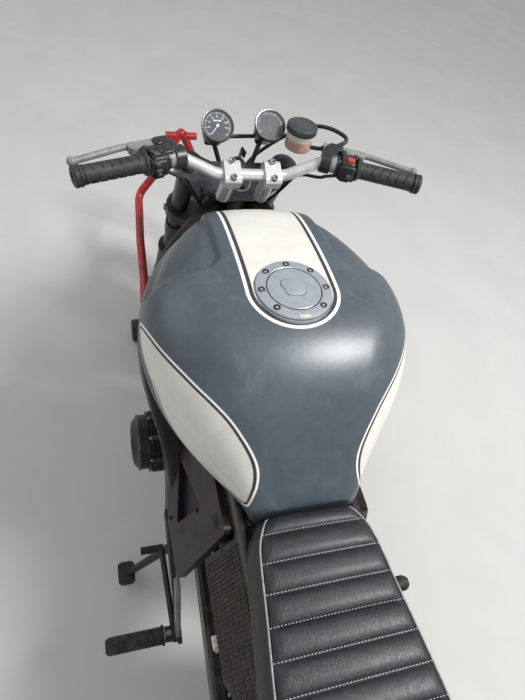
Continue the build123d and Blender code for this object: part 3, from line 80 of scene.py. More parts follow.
def shaderGroup(name, inputs, outputs):
    tree = bpy.data.node_groups.new(name, "ShaderNodeTree")
    for label, start in inputs.items():
        kind = socketKinds[len(start) if isinstance(start, tuple) else 1]
        tree.interface.new_socket(name=label, in_out="INPUT", socket_type=kind).default_value = start
    for label in outputs:
        kind = socketKinds[4 if label == "Color" else 1]
        tree.interface.new_socket(name=label, in_out="OUTPUT", socket_type=kind)
    return tree, tree.nodes.new("NodeGroupInput").outputs, tree.nodes.new("NodeGroupOutput").inputs


def feed(tree, socket, source):
    # a link from another socket, or a plain value
    if isinstance(source, bpy.types.NodeSocket):
        tree.links.new(source, socket)
    else:
        socket.default_value = source


def put(tree, kind, sockets=None, **settings):
    node = tree.nodes.new(kind)
    for key, value in settings.items():
        setattr(node, key, value)
    for label, source in (sockets or {}).items():
        feed(tree, node.inputs[label], source)
    return node


def mathOf(tree, operation, *values, clamp=False):
    return put(tree, "ShaderNodeMath", dict(enumerate(values)), operation=operation, use_clamp=clamp).outputs[0]


def product(tree, first, second, clamp=False):
    return mathOf(tree, "MULTIPLY", first, second, clamp=clamp)


def total(tree, first, second, clamp=False):
    return mathOf(tree, "ADD", first, second, clamp=clamp)


def less(tree, first, second):
    return mathOf(tree, "SUBTRACT", first, second)


def blendOf(tree, share, first, second):
    return put(tree, "ShaderNodeMix", {0: share, 6: first, 7: second}, data_type="RGBA").outputs[2]


def ramp(tree, value, low, high, start=0.0, end=1.0, **settings):
    sockets = {"Value": value, "From Min": low, "From Max": high, "To Min": start, "To Max": end}
    return put(tree, "ShaderNodeMapRange", sockets, **settings).outputs[0]


def stepAt(tree, value, edge, soft=0.0007):
    return ramp(tree, value, edge - soft, edge + soft)


def objectPlace(tree):
    return put(tree, "ShaderNodeTexCoord").outputs["Object"]


def axesOf(tree, where):
    return put(tree, "ShaderNodeSeparateXYZ", {0: where}).outputs


def stretchOf(tree, where, factors):
    return put(tree, "ShaderNodeVectorMath", {0: where, 1: factors}, operation="MULTIPLY").outputs[0]


def noiseOf(tree, where, scale, detail, **more):
    return put(tree, "ShaderNodeTexNoise", {"Vector": where, "Scale": scale, "Detail": detail, **more}).outputs[0]


def makeCloudy():
    # soft patches of a second colour
    tree, given, result = shaderGroup(
        "cloudyPatches", {"Color": (0.5, 0.5, 0.5, 1), "Second": (0.4, 0.4, 0.4, 1), "Scale": 12.0, "Balance": 0.5,
                          "Soft": 0.15}, ["Color", "Mask"])
    noise = noiseOf(tree, objectPlace(tree), given["Scale"], 6.0, Roughness=0.62, Distortion=0.6)
    low, high = less(tree, given["Balance"], given["Soft"]), total(tree, given["Balance"], given["Soft"])
    mask = ramp(tree, noise, low, high, interpolation_type="SMOOTHSTEP")
    tree.links.new(blendOf(tree, mask, given["Color"], given["Second"]), result["Color"])
    tree.links.new(mask, result["Mask"])
    return tree


def makeGrain():
    # fine cast or moulded grain, as a height
    tree, given, result = shaderGroup("fineGrain", {"Scale": 900.0, "Pits": 0.3}, ["Height"])
    where = objectPlace(tree)
    noise = noiseOf(tree, where, given["Scale"], 3.0)
    cells = put(tree, "ShaderNodeTexVoronoi", {"Vector": where, "Scale": given["Scale"]}).outputs["Distance"]
    tree.links.new(total(tree, noise, product(tree, cells, given["Pits"])), result["Height"])
    return tree


def makeBrushed():
    # long scratches one way, as a height
    tree, given, result = shaderGroup("brushedLines", {"Stretch": (40.0, 900.0, 900.0)}, ["Height"])
    spread = stretchOf(tree, objectPlace(tree), given["Stretch"])
    tree.links.new(noiseOf(tree, spread, 1.0, 4.0), result["Height"])
    return tree


def makeEdgeWear():
    # rubbed edges: the rounded normal leaves the true one there
    tree, given, result = shaderGroup("edgeWear", {"Radius": 0.0015, "Amount": 1.0, "Break Up": 60.0}, ["Mask"])
    rounded = put(tree, "ShaderNodeBevel", {"Radius": given["Radius"]}, samples=4).outputs[0]
    true = put(tree, "ShaderNodeNewGeometry").outputs["Normal"]
    lean = put(tree, "ShaderNodeVectorMath", {0: rounded, 1: true}, operation="DOT_PRODUCT").outputs["Value"]
    edge = product(tree, less(tree, 1.0, lean), 14.0, clamp=True)
    broken = ramp(tree, noiseOf(tree, objectPlace(tree), given["Break Up"], 4.0), 0.42, 0.62)
    both = product(tree, edge, broken)
    tree.links.new(product(tree, both, given["Amount"], clamp=True), result["Mask"])
    return tree


def makeDust():
    # pale road dust on faces that look up, thin elsewhere
    tree, given, result = shaderGroup("roadDust", {"Amount": 0.2, "Scale": 40.0}, ["Mask"])
    up = axesOf(tree, put(tree, "ShaderNodeNewGeometry").outputs["Normal"])[2]
    top = total(tree, product(tree, up, 0.45), 0.5, clamp=True)
    patchy = ramp(tree, noiseOf(tree, objectPlace(tree), given["Scale"], 7.0, Roughness=0.7), 0.4, 0.75)
    both = product(tree, top, patchy)
    tree.links.new(product(tree, both, given["Amount"], clamp=True), result["Mask"])
    return tree


groups = {"cloudy": makeCloudy(), "grain": makeGrain(), "brushed": makeBrushed(), "wear": makeEdgeWear(),
          "dust": makeDust()}
dustColor = tint(150, 140, 124)


def useGroup(tree, name, sockets=None):
    return put(tree, "ShaderNodeGroup", sockets, node_tree=groups[name]).outputs


def cloudyOf(tree, color, second, scale, balance=0.5, soft=0.15):
    # a colour and its mask
    return useGroup(tree, "cloudy", {"Color": color, "Second": second, "Scale": scale, "Balance": balance,
                                     "Soft": soft})


def dusted(tree, color, amount, scale=40.0):
    return blendOf(tree, useGroup(tree, "dust", {"Amount": amount, "Scale": scale})[0], color, dustColor)


def blankFinish(name):
    material = bpy.data.materials.new(name)
    material.use_nodes = True
    tree = material.node_tree
    return material, tree, next(n for n in tree.nodes if n.type == "BSDF_PRINCIPLED")


def setShader(tree, shader, values):
    for label, source in values.items():
        feed(tree, shader.inputs[label], source)


def setBump(tree, shader, height, strength, distance):
    bump = put(tree, "ShaderNodeBump", {"Height": height, "Strength": strength, "Distance": distance})
    tree.links.new(bump.outputs[0], shader.inputs["Normal"])


finishes = {}
plainLook = {"patch": 14.0, "metal": 0.0, "wear": 0.8, "dust": 0.12, "grain": 900.0, "spread": 0.12, "bump": 0.25,
             "spec": 0.4, "coat": 0.0}


def addFinish(name, **given):
    look = {**plainLook, **given}
    material, tree, shader = blankFinish(name)
    shades = {key: tint(*look[key]) if len(look[key]) == 3 else look[key]
              for key in ("color", "second", "bare") if key in look}
    color, mask = cloudyOf(tree, shades["color"], shades["second"], look["patch"], 0.52, 0.16)
    metal = look["metal"]
    if "bare" in look:
        wear = useGroup(tree, "wear", {"Radius": 0.0014, "Amount": look["wear"]})[0]
        color = blendOf(tree, wear, color, shades["bare"])
        if metal < 0.5:
            metal = product(tree, wear, 0.8)
    if look["dust"] > 0:
        color = dusted(tree, color, look["dust"])
    if "brushed" in look:
        grain = useGroup(tree, "brushed", {"Stretch": look["brushed"]})[0]
    else:
        grain = useGroup(tree, "grain", {"Scale": look["grain"]})[0]
    rough = total(tree, product(tree, mask, look["spread"]), look["rough"] - look["spread"] / 2, clamp=True)
    setShader(tree, shader, {"Base Color": color, "Metallic": metal, "Roughness": rough, "Coat Weight": look["coat"],
                             "Coat Roughness": 0.18, "Specular IOR Level": look["spec"]})
    setBump(tree, shader, grain, look["bump"], 0.0004)
    finishes[name] = material


def dress(data, material):
    data.materials.clear()
    data.materials.append(material)


finishLooks = {
    "wheelBlack": dict(color=(26, 26, 28), second=(38, 38, 40), rough=0.42, bare=(120, 120, 122), dust=0.2),
    "axleSteel": dict(color=(150, 150, 148), second=(110, 108, 104), rough=0.35, metal=1.0, patch=60.0,
                      brushed=(60.0, 900.0, 900.0)),
    "forkBlack": dict(color=(24, 25, 27), second=(36, 37, 39), rough=0.36, bare=(128, 128, 130), dust=0.1),
    "barSilver": dict(color=(216, 218, 216), second=(196, 198, 196), rough=0.34, metal=0.55, patch=50.0,
                      brushed=(50.0, 1100.0, 1100.0), bump=0.15, dust=0.05),
    "yokeBlack": dict(color=(40, 43, 50), second=(56, 59, 66), rough=0.28, coat=0.4, patch=30.0, dust=0.08,
                      bare=(140, 142, 144)),
    "bracketGrey": dict(color=(124, 126, 118), second=(96, 98, 92), rough=0.45, metal=0.3, patch=40.0,
                        bare=(170, 170, 166)),
    "panelBrown": dict(color=(52, 44, 36), second=(40, 34, 28), rough=0.5, spec=0.3, patch=30.0, dust=0.12,
                       bare=(96, 88, 78), wear=0.5),
    "clampSilver": dict(color=(224, 226, 224), second=(202, 204, 204), rough=0.34, metal=0.55, patch=70.0,
                        brushed=(900.0, 80.0, 900.0), bump=0.12, dust=0.05),
    "controlBlack": dict(color=(18, 19, 21), second=(30, 31, 32), rough=0.36, grain=1500.0, bump=0.35, spec=0.5,
                         bare=(108, 108, 108), dust=0.06),
    "leverGrey": dict(color=(134, 136, 132), second=(112, 114, 111), rough=0.46, metal=0.4, patch=60.0,
                      bare=(190, 190, 188)),
    "hoseBlack": dict(color=(18, 18, 19), second=(30, 30, 32), rough=0.5, grain=1600.0, bump=0.4, dust=0.08),
    "guardBlack": dict(color=(30, 31, 33), second=(42, 43, 45), rough=0.45, coat=0.2, dust=0.3,
                       bare=(90, 90, 90)),
    "standRed": dict(color=(178, 26, 28), second=(132, 18, 20), rough=0.38, patch=18.0, coat=0.3,
                     bare=(120, 104, 98), wear=1.0, dust=0.1),
    "standRubber": dict(color=(28, 28, 29), second=(44, 43, 42), rough=0.72, grain=1200.0, bump=0.5, dust=0.3),
    "frameBrown": dict(color=(34, 26, 20), second=(24, 19, 15), rough=0.38, patch=9.0, spec=0.3,
                       bare=(104, 90, 74), wear=0.6, grain=1200.0, dust=0.04),
    "engineDark": dict(color=(24, 26, 28), second=(36, 38, 40), rough=0.46, metal=0.3, spec=0.3, patch=24.0,
                       bare=(150, 150, 150), grain=700.0, bump=0.5, dust=0.25),
    "coverDark": dict(color=(18, 20, 24), second=(28, 30, 34), rough=0.36, metal=0.2, patch=30.0, spec=0.35,
                      bare=(130, 124, 114), dust=0.1),
    "radiatorBlack": dict(color=(22, 23, 24), second=(44, 44, 44), rough=0.55, dust=0.35, bare=(120, 120, 120)),
    "exhaustSteel": dict(color=(150, 140, 126), second=(98, 82, 70), rough=0.34, metal=1.0, patch=16.0,
                         brushed=(900.0, 60.0, 900.0), dust=0.15),
    "silencerGrey": dict(color=(134, 136, 138), second=(104, 104, 104), rough=0.34, metal=1.0, patch=20.0,
                         brushed=(900.0, 50.0, 900.0), bare=(190, 190, 190)),
    "carbAlloy": dict(color=(120, 120, 116), second=(86, 86, 82), rough=0.5, metal=0.8, grain=600.0, bump=0.5,
                      dust=0.3),
    "airboxBlack": dict(color=(24, 25, 26), second=(34, 34, 35), rough=0.6, grain=900.0, bump=0.5, dust=0.3),
    "panBlack": dict(color=(30, 27, 25), second=(42, 38, 35), rough=0.42, coat=0.2, dust=0.12,
                     bare=(96, 90, 84)),
    "subframeDark": dict(color=(22, 24, 29), second=(32, 34, 40), rough=0.4, coat=0.2, bare=(110, 110, 112),
                         dust=0.2),
    "pegBlack": dict(color=(15, 17, 20), second=(24, 26, 29), rough=0.6, grain=1000.0, bump=0.5,
                     bare=(120, 120, 118)),
    "boltSteel": dict(color=(170, 170, 168), second=(128, 126, 122), rough=0.32, metal=1.0, patch=90.0,
                      grain=1500.0, dust=0.05),
    "boltBlack": dict(color=(30, 30, 32), second=(50, 50, 52), rough=0.4, metal=0.6, patch=90.0, dust=0.08,
                      bare=(140, 140, 138)),
    "discSteel": dict(color=(160, 160, 160), second=(128, 126, 124), rough=0.26, metal=1.0, patch=30.0,
                      brushed=(900.0, 300.0, 300.0), dust=0.05),
    "sprocketSteel": dict(color=(120, 116, 108), second=(84, 76, 66), rough=0.42, metal=1.0, patch=44.0,
                          grain=800.0, dust=0.2),
    "springPaint": dict(color=(44, 46, 50), second=(62, 62, 64), rough=0.42, coat=0.2, bare=(150, 150, 150)),
    "lampBlack": dict(color=(22, 23, 25), second=(34, 34, 36), rough=0.3, coat=0.4, dust=0.12),
    "tailRed": dict(color=(140, 18, 20), second=(108, 12, 14), rough=0.18, coat=0.6, dust=0.05),
}
for name, look in finishLooks.items():
    addFinish(name, **look)
print("finishes made:", len(finishes))

# CAD node to finish
nodeFinish = {
    "front_wheel_casting": "wheelBlack", "rear_wheel_casting": "wheelBlack", "front_brake_discs": "discSteel",
    "rear_brake_disc": "discSteel", "rear_sprocket": "sprocketSteel", "fork_sliders_and_axle": "forkBlack",
    "fork_tubes": "forkBlack", "bottom_yoke": "forkBlack", "top_yoke": "yokeBlack", "handlebar": "barSilver",
    "bar_risers": "clampSilver", "switch_housings": "controlBlack", "hand_levers": "leverGrey",
    "clock_bracket": "controlBlack", "headlamp": "lampBlack", "headlamp_brackets": "forkBlack",
    "front_mudguard": "guardBlack", "front_calipers": "coverDark", "front_stand": "standRed",
    "front_stand_rubbers": "standRubber", "steering_head": "frameBrown", "swingarm": "subframeDark",
    "rear_axle_and_pivot": "axleSteel", "crankcase": "engineDark", "cylinder_block": "engineDark",
    "cylinder_head": "engineDark", "engine_covers": "coverDark", "radiator": "radiatorBlack",
    "exhaust_pipes": "exhaustSteel", "silencer": "silencerGrey", "carburettors": "carbAlloy",
    "airbox": "airboxBlack", "frame_spars": "frameBrown", "seat_pan": "panBlack", "subframe": "subframeDark",
    "side_panels": "frameBrown", "tail_lamp": "tailRed", "rear_mudguard": "guardBlack",
    "shock_absorber": "springPaint", "footpegs": "pegBlack", "foot_levers": "pegBlack", "side_stand": "forkBlack",
    "side_stand_bracket": "engineDark", "rear_caliper": "coverDark", "front_brake_hoses": "hoseBlack",
}
for nodeName, finishName in nodeFinish.items():
    dress(nodes[nodeName].data, finishes[finishName])


# mesh helpers
def lathe(mesh, profile, place, segments=64, wave=None):
    rings = []
    for count, (radius, height) in enumerate(profile):
        if radius == 0:
            rings.append([mesh.verts.new(place @ Vector((0, 0, height)))])
            continue
        ring = []
        for step in range(segments):
            angle = 2 * math.pi * step / segments
            reach = radius + (wave(angle, height, count) if wave else 0)
            ring.append(mesh.verts.new(place @ Vector((reach * math.cos(angle), reach * math.sin(angle), height))))
        rings.append(ring)
    for low, high in zip(rings, rings[1:]):
        for step in range(segments):
            after = (step + 1) % segments
            if len(low) == 1:
                mesh.faces.new((low[0], high[after], high[step]))
            elif len(high) == 1:
                mesh.faces.new((low[step], low[after], high[0]))
            else:
                mesh.faces.new((low[step], low[after], high[after], high[step]))


def block(mesh, place, size, rounding, steps=3):
    made = bmesh.ops.create_cube(mesh, size=1, matrix=place @ Matrix.Diagonal((*size, 1)))
    edges = list({edge for vert in made["verts"] for edge in vert.link_edges})
    bmesh.ops.bevel(mesh, geom=edges, offset=rounding, segments=steps, profile=0.5, affect="EDGES")


def walls(mesh, low, high):
    # quads between two rings of equal length
    for a, b, c, d in zip(low, low[1:] + low[:1], high[1:] + high[:1], high):
        mesh.faces.new((a, b, c, d))


def prism(mesh, low, high):
    walls(mesh, low, high)
    mesh.faces.new(high)
    mesh.faces.new(low[::-1])


def closeEnd(mesh, ring, shares):
    # shrinking rings and a fan shut an open end
    middle = sum((v.co for v in ring), Vector()) / len(ring)
    rim = ring
    for share in shares:
        closer = [mesh.verts.new(middle + (v.co - middle) * share) for v in ring]
        walls(mesh, rim, closer)
        rim = closer
    tip = mesh.verts.new(middle)
    for a, b in zip(rim, rim[1:] + rim[:1]):
        mesh.faces.new((a, b, tip))


def meshData(name, mesh):
    bmesh.ops.recalc_face_normals(mesh, faces=mesh.faces)
    data = bpy.data.meshes.new(name)
    mesh.to_mesh(data)
    mesh.free()
    return data


def asPiece(name, mesh, material, body, replaced=(), angle=40):
    bmesh.ops.remove_doubles(mesh, verts=mesh.verts, dist=1e-6)
    return showPiece(name, meshData(name, mesh), material, body, replaced, angle)


def showPiece(name, data, material, body, replaced=(), angle=40):
    data.shade_smooth()
    data.set_sharp_from_angle(angle=math.radians(angle))
    if material is not None:
        dress(data, material)
    piece = bpy.data.objects.new(name, data)
    bpy.context.scene.collection.objects.link(piece)
    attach(piece, body)
    if replaced:
        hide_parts(*replaced)
    return piece


# geometry nodes that repeat a unit
def inputId(tree, label):
    return next(item.identifier for item in tree.interface.items_tree
                if item.name == label and item.in_out == "INPUT")


def nodesTree(name, inputs):
    tree = bpy.data.node_groups.new(name, "GeometryNodeTree")
    tree.interface.new_socket(name="Geometry", in_out="INPUT", socket_type="NodeSocketGeometry")
    for label, kind in inputs:
        tree.interface.new_socket(name=label, in_out="INPUT", socket_type=kind)
    tree.interface.new_socket(name="Geometry", in_out="OUTPUT", socket_type="NodeSocketGeometry")
    return tree, tree.nodes.new("NodeGroupInput").outputs, tree.nodes.new("NodeGroupOutput").inputs


def closeTree(tree, given, result, instances):
    real = put(tree, "GeometryNodeRealizeInstances", {"Geometry": instances})
    dressed = put(tree, "GeometryNodeSetMaterial", {"Geometry": real.outputs[0], "Material": given["Material"]})
    tree.links.new(dressed.outputs[0], result["Geometry"])


def makeRepeatOnPath():
    tree, given, result = nodesTree("repeatOnPath", [("Unit", "NodeSocketObject"), ("Spacing", "NodeSocketFloat"),
                                                     ("Material", "NodeSocketMaterial")])
    points = put(tree, "GeometryNodeCurveToPoints", {"Curve": given["Geometry"], "Length": given["Spacing"]},
                 mode="LENGTH").outputs
    unit = put(tree, "GeometryNodeObjectInfo", {"Object": given["Unit"]}).outputs["Geometry"]
    spread = put(tree, "GeometryNodeInstanceOnPoints", {"Points": points["Points"], "Instance": unit,
                                                        "Rotation": points["Rotation"]})
    closeTree(tree, given, result, spread.outputs[0])
    return tree


def makeRepeatOnPoints():
    tree, given, result = nodesTree("repeatOnPoints", [("Unit", "NodeSocketObject"),
                                                       ("Material", "NodeSocketMaterial")])
    points = put(tree, "GeometryNodeMeshToPoints", {"Mesh": given["Geometry"]}).outputs[0]
    unit = put(tree, "GeometryNodeObjectInfo", {"Object": given["Unit"]}).outputs["Geometry"]
    way = put(tree, "GeometryNodeInputNamedAttribute", {"Name": "way"}, data_type="FLOAT_VECTOR").outputs[0]
    size = put(tree, "GeometryNodeInputNamedAttribute", {"Name": "size"}, data_type="FLOAT").outputs[0]
    turned = put(tree, "FunctionNodeAlignRotationToVector", {"Vector": way}, axis="Z").outputs[0]
    spread = put(tree, "GeometryNodeInstanceOnPoints", {"Points": points, "Instance": unit, "Rotation": turned,
                                                        "Scale": size})
    closeTree(tree, given, result, spread.outputs[0])
    return tree


repeatOnPath, repeatOnPoints = makeRepeatOnPath(), makeRepeatOnPoints()


def unitObject(name, mesh):
    data = meshData(name, mesh)
    data.shade_smooth()
    data.set_sharp_from_angle(angle=math.radians(35))
    return bpy.data.objects.new(name, data)


def latheUnit(name, profile, segments):
    mesh = bmesh.new()
    lathe(mesh, profile, Matrix.Identity(4), segments)
    return unitObject(name, mesh)


def finalMesh(holder):
    # the object's evaluated mesh; the object itself goes
    bpy.context.scene.collection.objects.link(holder)
    bpy.context.view_layer.update()
    seen = bpy.context.evaluated_depsgraph_get()
    data = bpy.data.meshes.new_from_object(holder.evaluated_get(seen), depsgraph=seen)
    bpy.data.objects.remove(holder)
    return data


def runTree(holder, tree, settings):
    modifier = holder.modifiers.new(tree.name, "NODES")
    modifier.node_group = tree
    for label, value in settings.items():
        modifier[inputId(tree, label)] = value
    return finalMesh(holder)


def pathCurve(name, kind, points, closed=False):
    curve = bpy.data.curves.new(name, "CURVE")
    curve.dimensions = "3D"
    line = curve.splines.new(kind)
    line.points.add(len(points) - 1)
    for knot, point in zip(line.points, points):
        knot.co = (*point, 1)
    line.use_cyclic_u = closed
    return curve, line


def alongPath(name, points, unit, spacing, material, closed=False):
    curve = pathCurve(name + "Path", "POLY", points, closed)[0]
    curve.twist_mode = "Z_UP"
    return runTree(bpy.data.objects.new(name + "Path", curve), repeatOnPath,
                   {"Unit": unit, "Spacing": spacing, "Material": material})


def atPoints(name, rows, unit, material):
    # each row: place, way that the unit's z takes, size
    data = bpy.data.meshes.new(name + "Points")
    data.from_pydata([tuple(place) for place, way, size in rows], [], [])
    ways = [part for place, way, size in rows for part in Vector(way).normalized()]
    data.attributes.new("way", "FLOAT_VECTOR", "POINT").data.foreach_set("vector", ways)
    data.attributes.new("size", "FLOAT", "POINT").data.foreach_set("value", [size for place, way, size in rows])
    return runTree(bpy.data.objects.new(name + "Points", data), repeatOnPoints, {"Unit": unit, "Material": material})


def tubeCurve(name, points, radius, closed=False, sides=4, resolution=12):
    curve, line = pathCurve(name, "NURBS", points, closed)
    curve.bevel_depth, curve.bevel_resolution, curve.use_fill_caps = radius, sides, True
    line.order_u, line.use_endpoint_u, line.resolution_u = 3, not closed, resolution
    return curve


def tubeMesh(name, *tube, **settings):
    return finalMesh(bpy.data.objects.new(name, tubeCurve(name, *tube, **settings)))


def solidTree(name):
    return BVHTree.FromPolygons([v.co for v in nodes[name].data.vertices],
                                [p.vertices for p in nodes[name].data.polygons])


print("helpers ready")

# tyres: grooves and sidewall rings follow the wheel's own angle
tyres = {
    "front_tyre": dict(centre=(0, 0.650, 0.300), outer=0.288, half=0.060, count=26),
    "rear_tyre": dict(centre=(0, -0.755, 0.312), outer=0.312, half=0.080, count=24),
}
# the groove colour is painted shade: the tread grooves are painted darker than the rubber around them
tread = {"sweep": 16.0, "stagger": 0.25, "wide": 0.085, "narrow": 0.03, "soft": 0.02, "starts": (0.12, 0.16),
         "ends": (0.80, 0.84), "depth": (0.040, 0.034), "ringRate": 1400.0, "rubber": tint(34, 34, 35),
         "aged": tint(48, 47, 45), "groove": tint(12, 12, 12)}


def tyreFinish(name, look):
    material, tree, shader = blankFinish(name)
    moved = put(tree, "ShaderNodeMapping", {"Vector": objectPlace(tree), "Location": [-c for c in look["centre"]]})
    axes, half = axesOf(tree, moved.outputs[0]), look["half"]
    out = mathOf(tree, "ABSOLUTE", axes[0])
    # slanted grooves, staggered from side to side
    angle = mathOf(tree, "DIVIDE", mathOf(tree, "ARCTAN2", axes[2], axes[1]), 2 * math.pi / look["count"])
    sides = product(tree, mathOf(tree, "SIGN", axes[0]), tread["stagger"])
    swept = total(tree, total(tree, angle, sides), product(tree, out, tread["sweep"]))
    across = mathOf(tree, "ABSOLUTE", less(tree, mathOf(tree, "FRACT", swept), 0.5))
    width = ramp(tree, out, 0.0, half, tread["wide"], tread["narrow"])
    groove = ramp(tree, less(tree, across, width), 0.0, tread["soft"], 1.0, 0.0)
    inner = ramp(tree, out, *[half * share for share in tread["starts"]])
    outer = ramp(tree, out, *[half * share for share in tread["ends"]], 1.0, 0.0)
    groove = product(tree, product(tree, groove, inner), outer)
    # rings on the sidewall, below the tread
    radius = mathOf(tree, "SQRT", total(tree, product(tree, axes[1], axes[1]), product(tree, axes[2], axes[2])))
    above = ramp(tree, radius, *[look["outer"] - depth for depth in tread["depth"]])
    groove = product(tree, groove, above)
    waves = mathOf(tree, "SINE", product(tree, radius, tread["ringRate"]))
    rings = product(tree, waves, product(tree, less(tree, 1.0, above), 0.25))
    rubber = cloudyOf(tree, tread["rubber"], tread["aged"], 26.0, 0.5, 0.2)[0]
    # painted shade: the grooves take the darker groove colour as well as the bump
    color = dusted(tree, blendOf(tree, groove, rubber, tread["groove"]), 0.35, 30.0)
    setShader(tree, shader, {"Base Color": color, "Roughness": 0.74})
    grain = useGroup(tree, "grain", {"Scale": 700.0})[0]
    setBump(tree, shader, less(tree, total(tree, product(tree, grain, 0.08), rings), groove), 0.9, 0.003)
    return material


for nodeName, look in tyres.items():
    dress(nodes[nodeName].data, tyreFinish(nodeName + "Rubber", look))
print("tyres done")

# tank: the solid's own shape on an even grid, painted by its outlines
tank = {
    "front": 0.2087, "rear": -0.3363, "stations": 150, "around": 264, "roundFront": 0.024, "roundRear": 0.016,
    "core": [(0.2087, 0.900), (0.170, 0.890), (0.045, 0.870), (-0.096, 0.862), (-0.205, 0.840), (-0.282, 0.800),
             (-0.3363, 0.775)],
    "slate": tint(71, 82, 89), "worn": tint(100, 111, 117), "deep": tint(60, 70, 77), "cream": tint(215, 213, 205),
    "creamAged": tint(206, 203, 193), "line": tint(46, 43, 40), "white": tint(240, 238, 232),
    "stripeHalf": 0.0785, "stripeCentre": -0.060, "whiteWidth": 0.0054, "darkWidth": 0.0122,
    "kneeOutline": [(-0.018, 0.895), (-0.063, 0.922), (-0.114, 0.932), (-0.155, 0.933), (-0.189, 0.926),
                    (-0.211, 0.918), (-0.232, 0.906), (-0.256, 0.885), (-0.277, 0.863), (-0.295, 0.841),
                    (-0.311, 0.819), (-0.321, 0.797), (-0.319, 0.780), (-0.307, 0.769), (-0.288, 0.762),
                    (-0.262, 0.748), (-0.228, 0.750), (-0.195, 0.770), (-0.167, 0.802), (-0.138, 0.836),
                    (-0.100, 0.862), (-0.050, 0.880)],
    "kneeX": 0.06, "kneeRear": -0.345, "kneeTop": 0.95, "kneeAway": -0.05,
    "kneeWhite": 0.0033, "kneeDark": 0.0078, "stripeFrom": 0.925, "stripeRound": 1.1, "scoopDepth": 0.011,
    "scoopFrom": (0.097, -0.006, 0.893), "scoopCorner": 0.044, "scoopEdge": 0.022, "scoopRise": 0.030,
    "creaseDepth": 0.0014, "creaseAt": 0.012, "creaseWidth": 0.007, "creaseHalf": 0.070, "creaseFrom": 0.95,
}


def between(table, where):
    rows = sorted(table)
    if where <= rows[0][0]:
        return rows[0][1]
    for (a, first), (b, second) in zip(rows, rows[1:]):
        if where <= b:
            return first + (second - first) * (where - a) / (b - a)
    return rows[-1][1]


def smoother(outline, rounds=2):
    for _ in range(rounds):
        outline = [tuple(p * k + q * (1 - k) for p, q in zip(a, b))
                   for a, b in zip(outline, outline[1:] + outline[:1]) for k in (0.75, 0.25)]
    return outline


def signedDistance(place, normal, outline):
    # above zero inside the outline, measured along the surface
    x, y, z = place
    inside, nearest, away = False, 1.0, (0.0, 0.0)
    for (ay, az), (by, bz) in zip(outline, outline[1:] + outline[:1]):
        dy, dz = by - ay, bz - az
        share = max(0.0, min(1.0, ((y - ay) * dy + (z - az) * dz) / (dy * dy + dz * dz)))
        gap = (y - ay - share * dy, z - az - share * dz)
        if gap[0] ** 2 + gap[1] ** 2 < nearest:
            nearest, away = gap[0] ** 2 + gap[1] ** 2, gap
        if (az > z) != (bz > z) and y < dy * (z - az) / dz + ay:
            inside = not inside
    length = max(1e-6, math.sqrt(nearest))
    lean = (normal.y * away[0] + normal.z * away[1]) / length
    return length / math.sqrt(max(0.08, 1 - lean * lean)) * (1 if inside else -1)


def eased(value, start, width):
    share = max(0.0, min(1.0, (value - start) / width))
    return share * share * (3 - 2 * share)


def scoopAt(place):
    # hollows at the front shoulders, and a faint crease ahead of the cap
    (x, y, z), corner = tank["scoopFrom"], tank["scoopCorner"]
    across, along = max(0.0, corner - abs(place.x) + x), max(0.0, corner - place.y + y)
    hollow = eased(corner - math.hypot(across, along), 0.0, tank["scoopEdge"]) * eased(place.z, z, tank["scoopRise"])
    crease = math.exp(-((place.y - tank["creaseAt"]) / tank["creaseWidth"]) ** 2)
    crease *= eased(-abs(place.x), -tank["creaseHalf"], 0.02) * eased(place.z, tank["creaseFrom"], 0.01)
    return tank["scoopDepth"] * hollow + tank["creaseDepth"] * crease


def endRows(end, sign, curve, count=6):
    # a rounded end, as rows of y and inset along a quarter circle
    turns = [math.pi / 2 * (1 - step / count) for step in range(count)]
    rows = [(end + sign * curve * (1 - math.sin(turn)), curve * (1 - math.cos(turn))) for turn in turns]
    return rows if sign < 0 else rows[::-1]


def tankRing(mesh, solid, y, inset):
    # rays from the core to the solid's skin, just inside its ends
    cut, core = max(tank["rear"] + 0.0006, min(tank["front"] - 0.0006, y)), between(tank["core"], y)
    ring = []
    for step in range(tank["around"]):
        angle = 2 * math.pi * step / tank["around"]
        way = Vector((math.cos(angle), 0, math.sin(angle)))
        hit = solid.ray_cast(Vector((0, cut, core)), way)[0]
        reach = (hit - Vector((0, cut, core))).length - inset - scoopAt(hit)
        ring.append(mesh.verts.new(Vector((0, y, core)) + way * reach))
    return ring


def makeTank():
    solid, mesh = solidTree("fuel_tank"), bmesh.new()
    first, last = tank["front"] - tank["roundFront"], tank["rear"] + tank["roundRear"]
    middle = [(first + (last - first) * step / tank["stations"], 0.0) for step in range(tank["stations"] + 1)]
    rows = endRows(tank["front"], -1, tank["roundFront"]) + middle + endRows(tank["rear"], 1, tank["roundRear"])
    rings = [tankRing(mesh, solid, y, inset) for y, inset in rows]
    for low, high in zip(rings, rings[1:]):
        walls(mesh, low, high)
    for ring in (rings[0], rings[-1]):
        closeEnd(mesh, ring, (0.85, 0.5))
    data = meshData("tankShell", mesh)
    outline = smoother(tank["kneeOutline"])
    knee = data.attributes.new("kneeEdge", "FLOAT", "POINT")
    for index, vert in enumerate(data.vertices):
        x, y, z = vert.co
        near = abs(x) > tank["kneeX"] and tank["kneeRear"] < y < 0.0 and z < tank["kneeTop"]
        knee.data[index].value = signedDistance(vert.co, vert.normal, outline) if near else tank["kneeAway"]
    return data


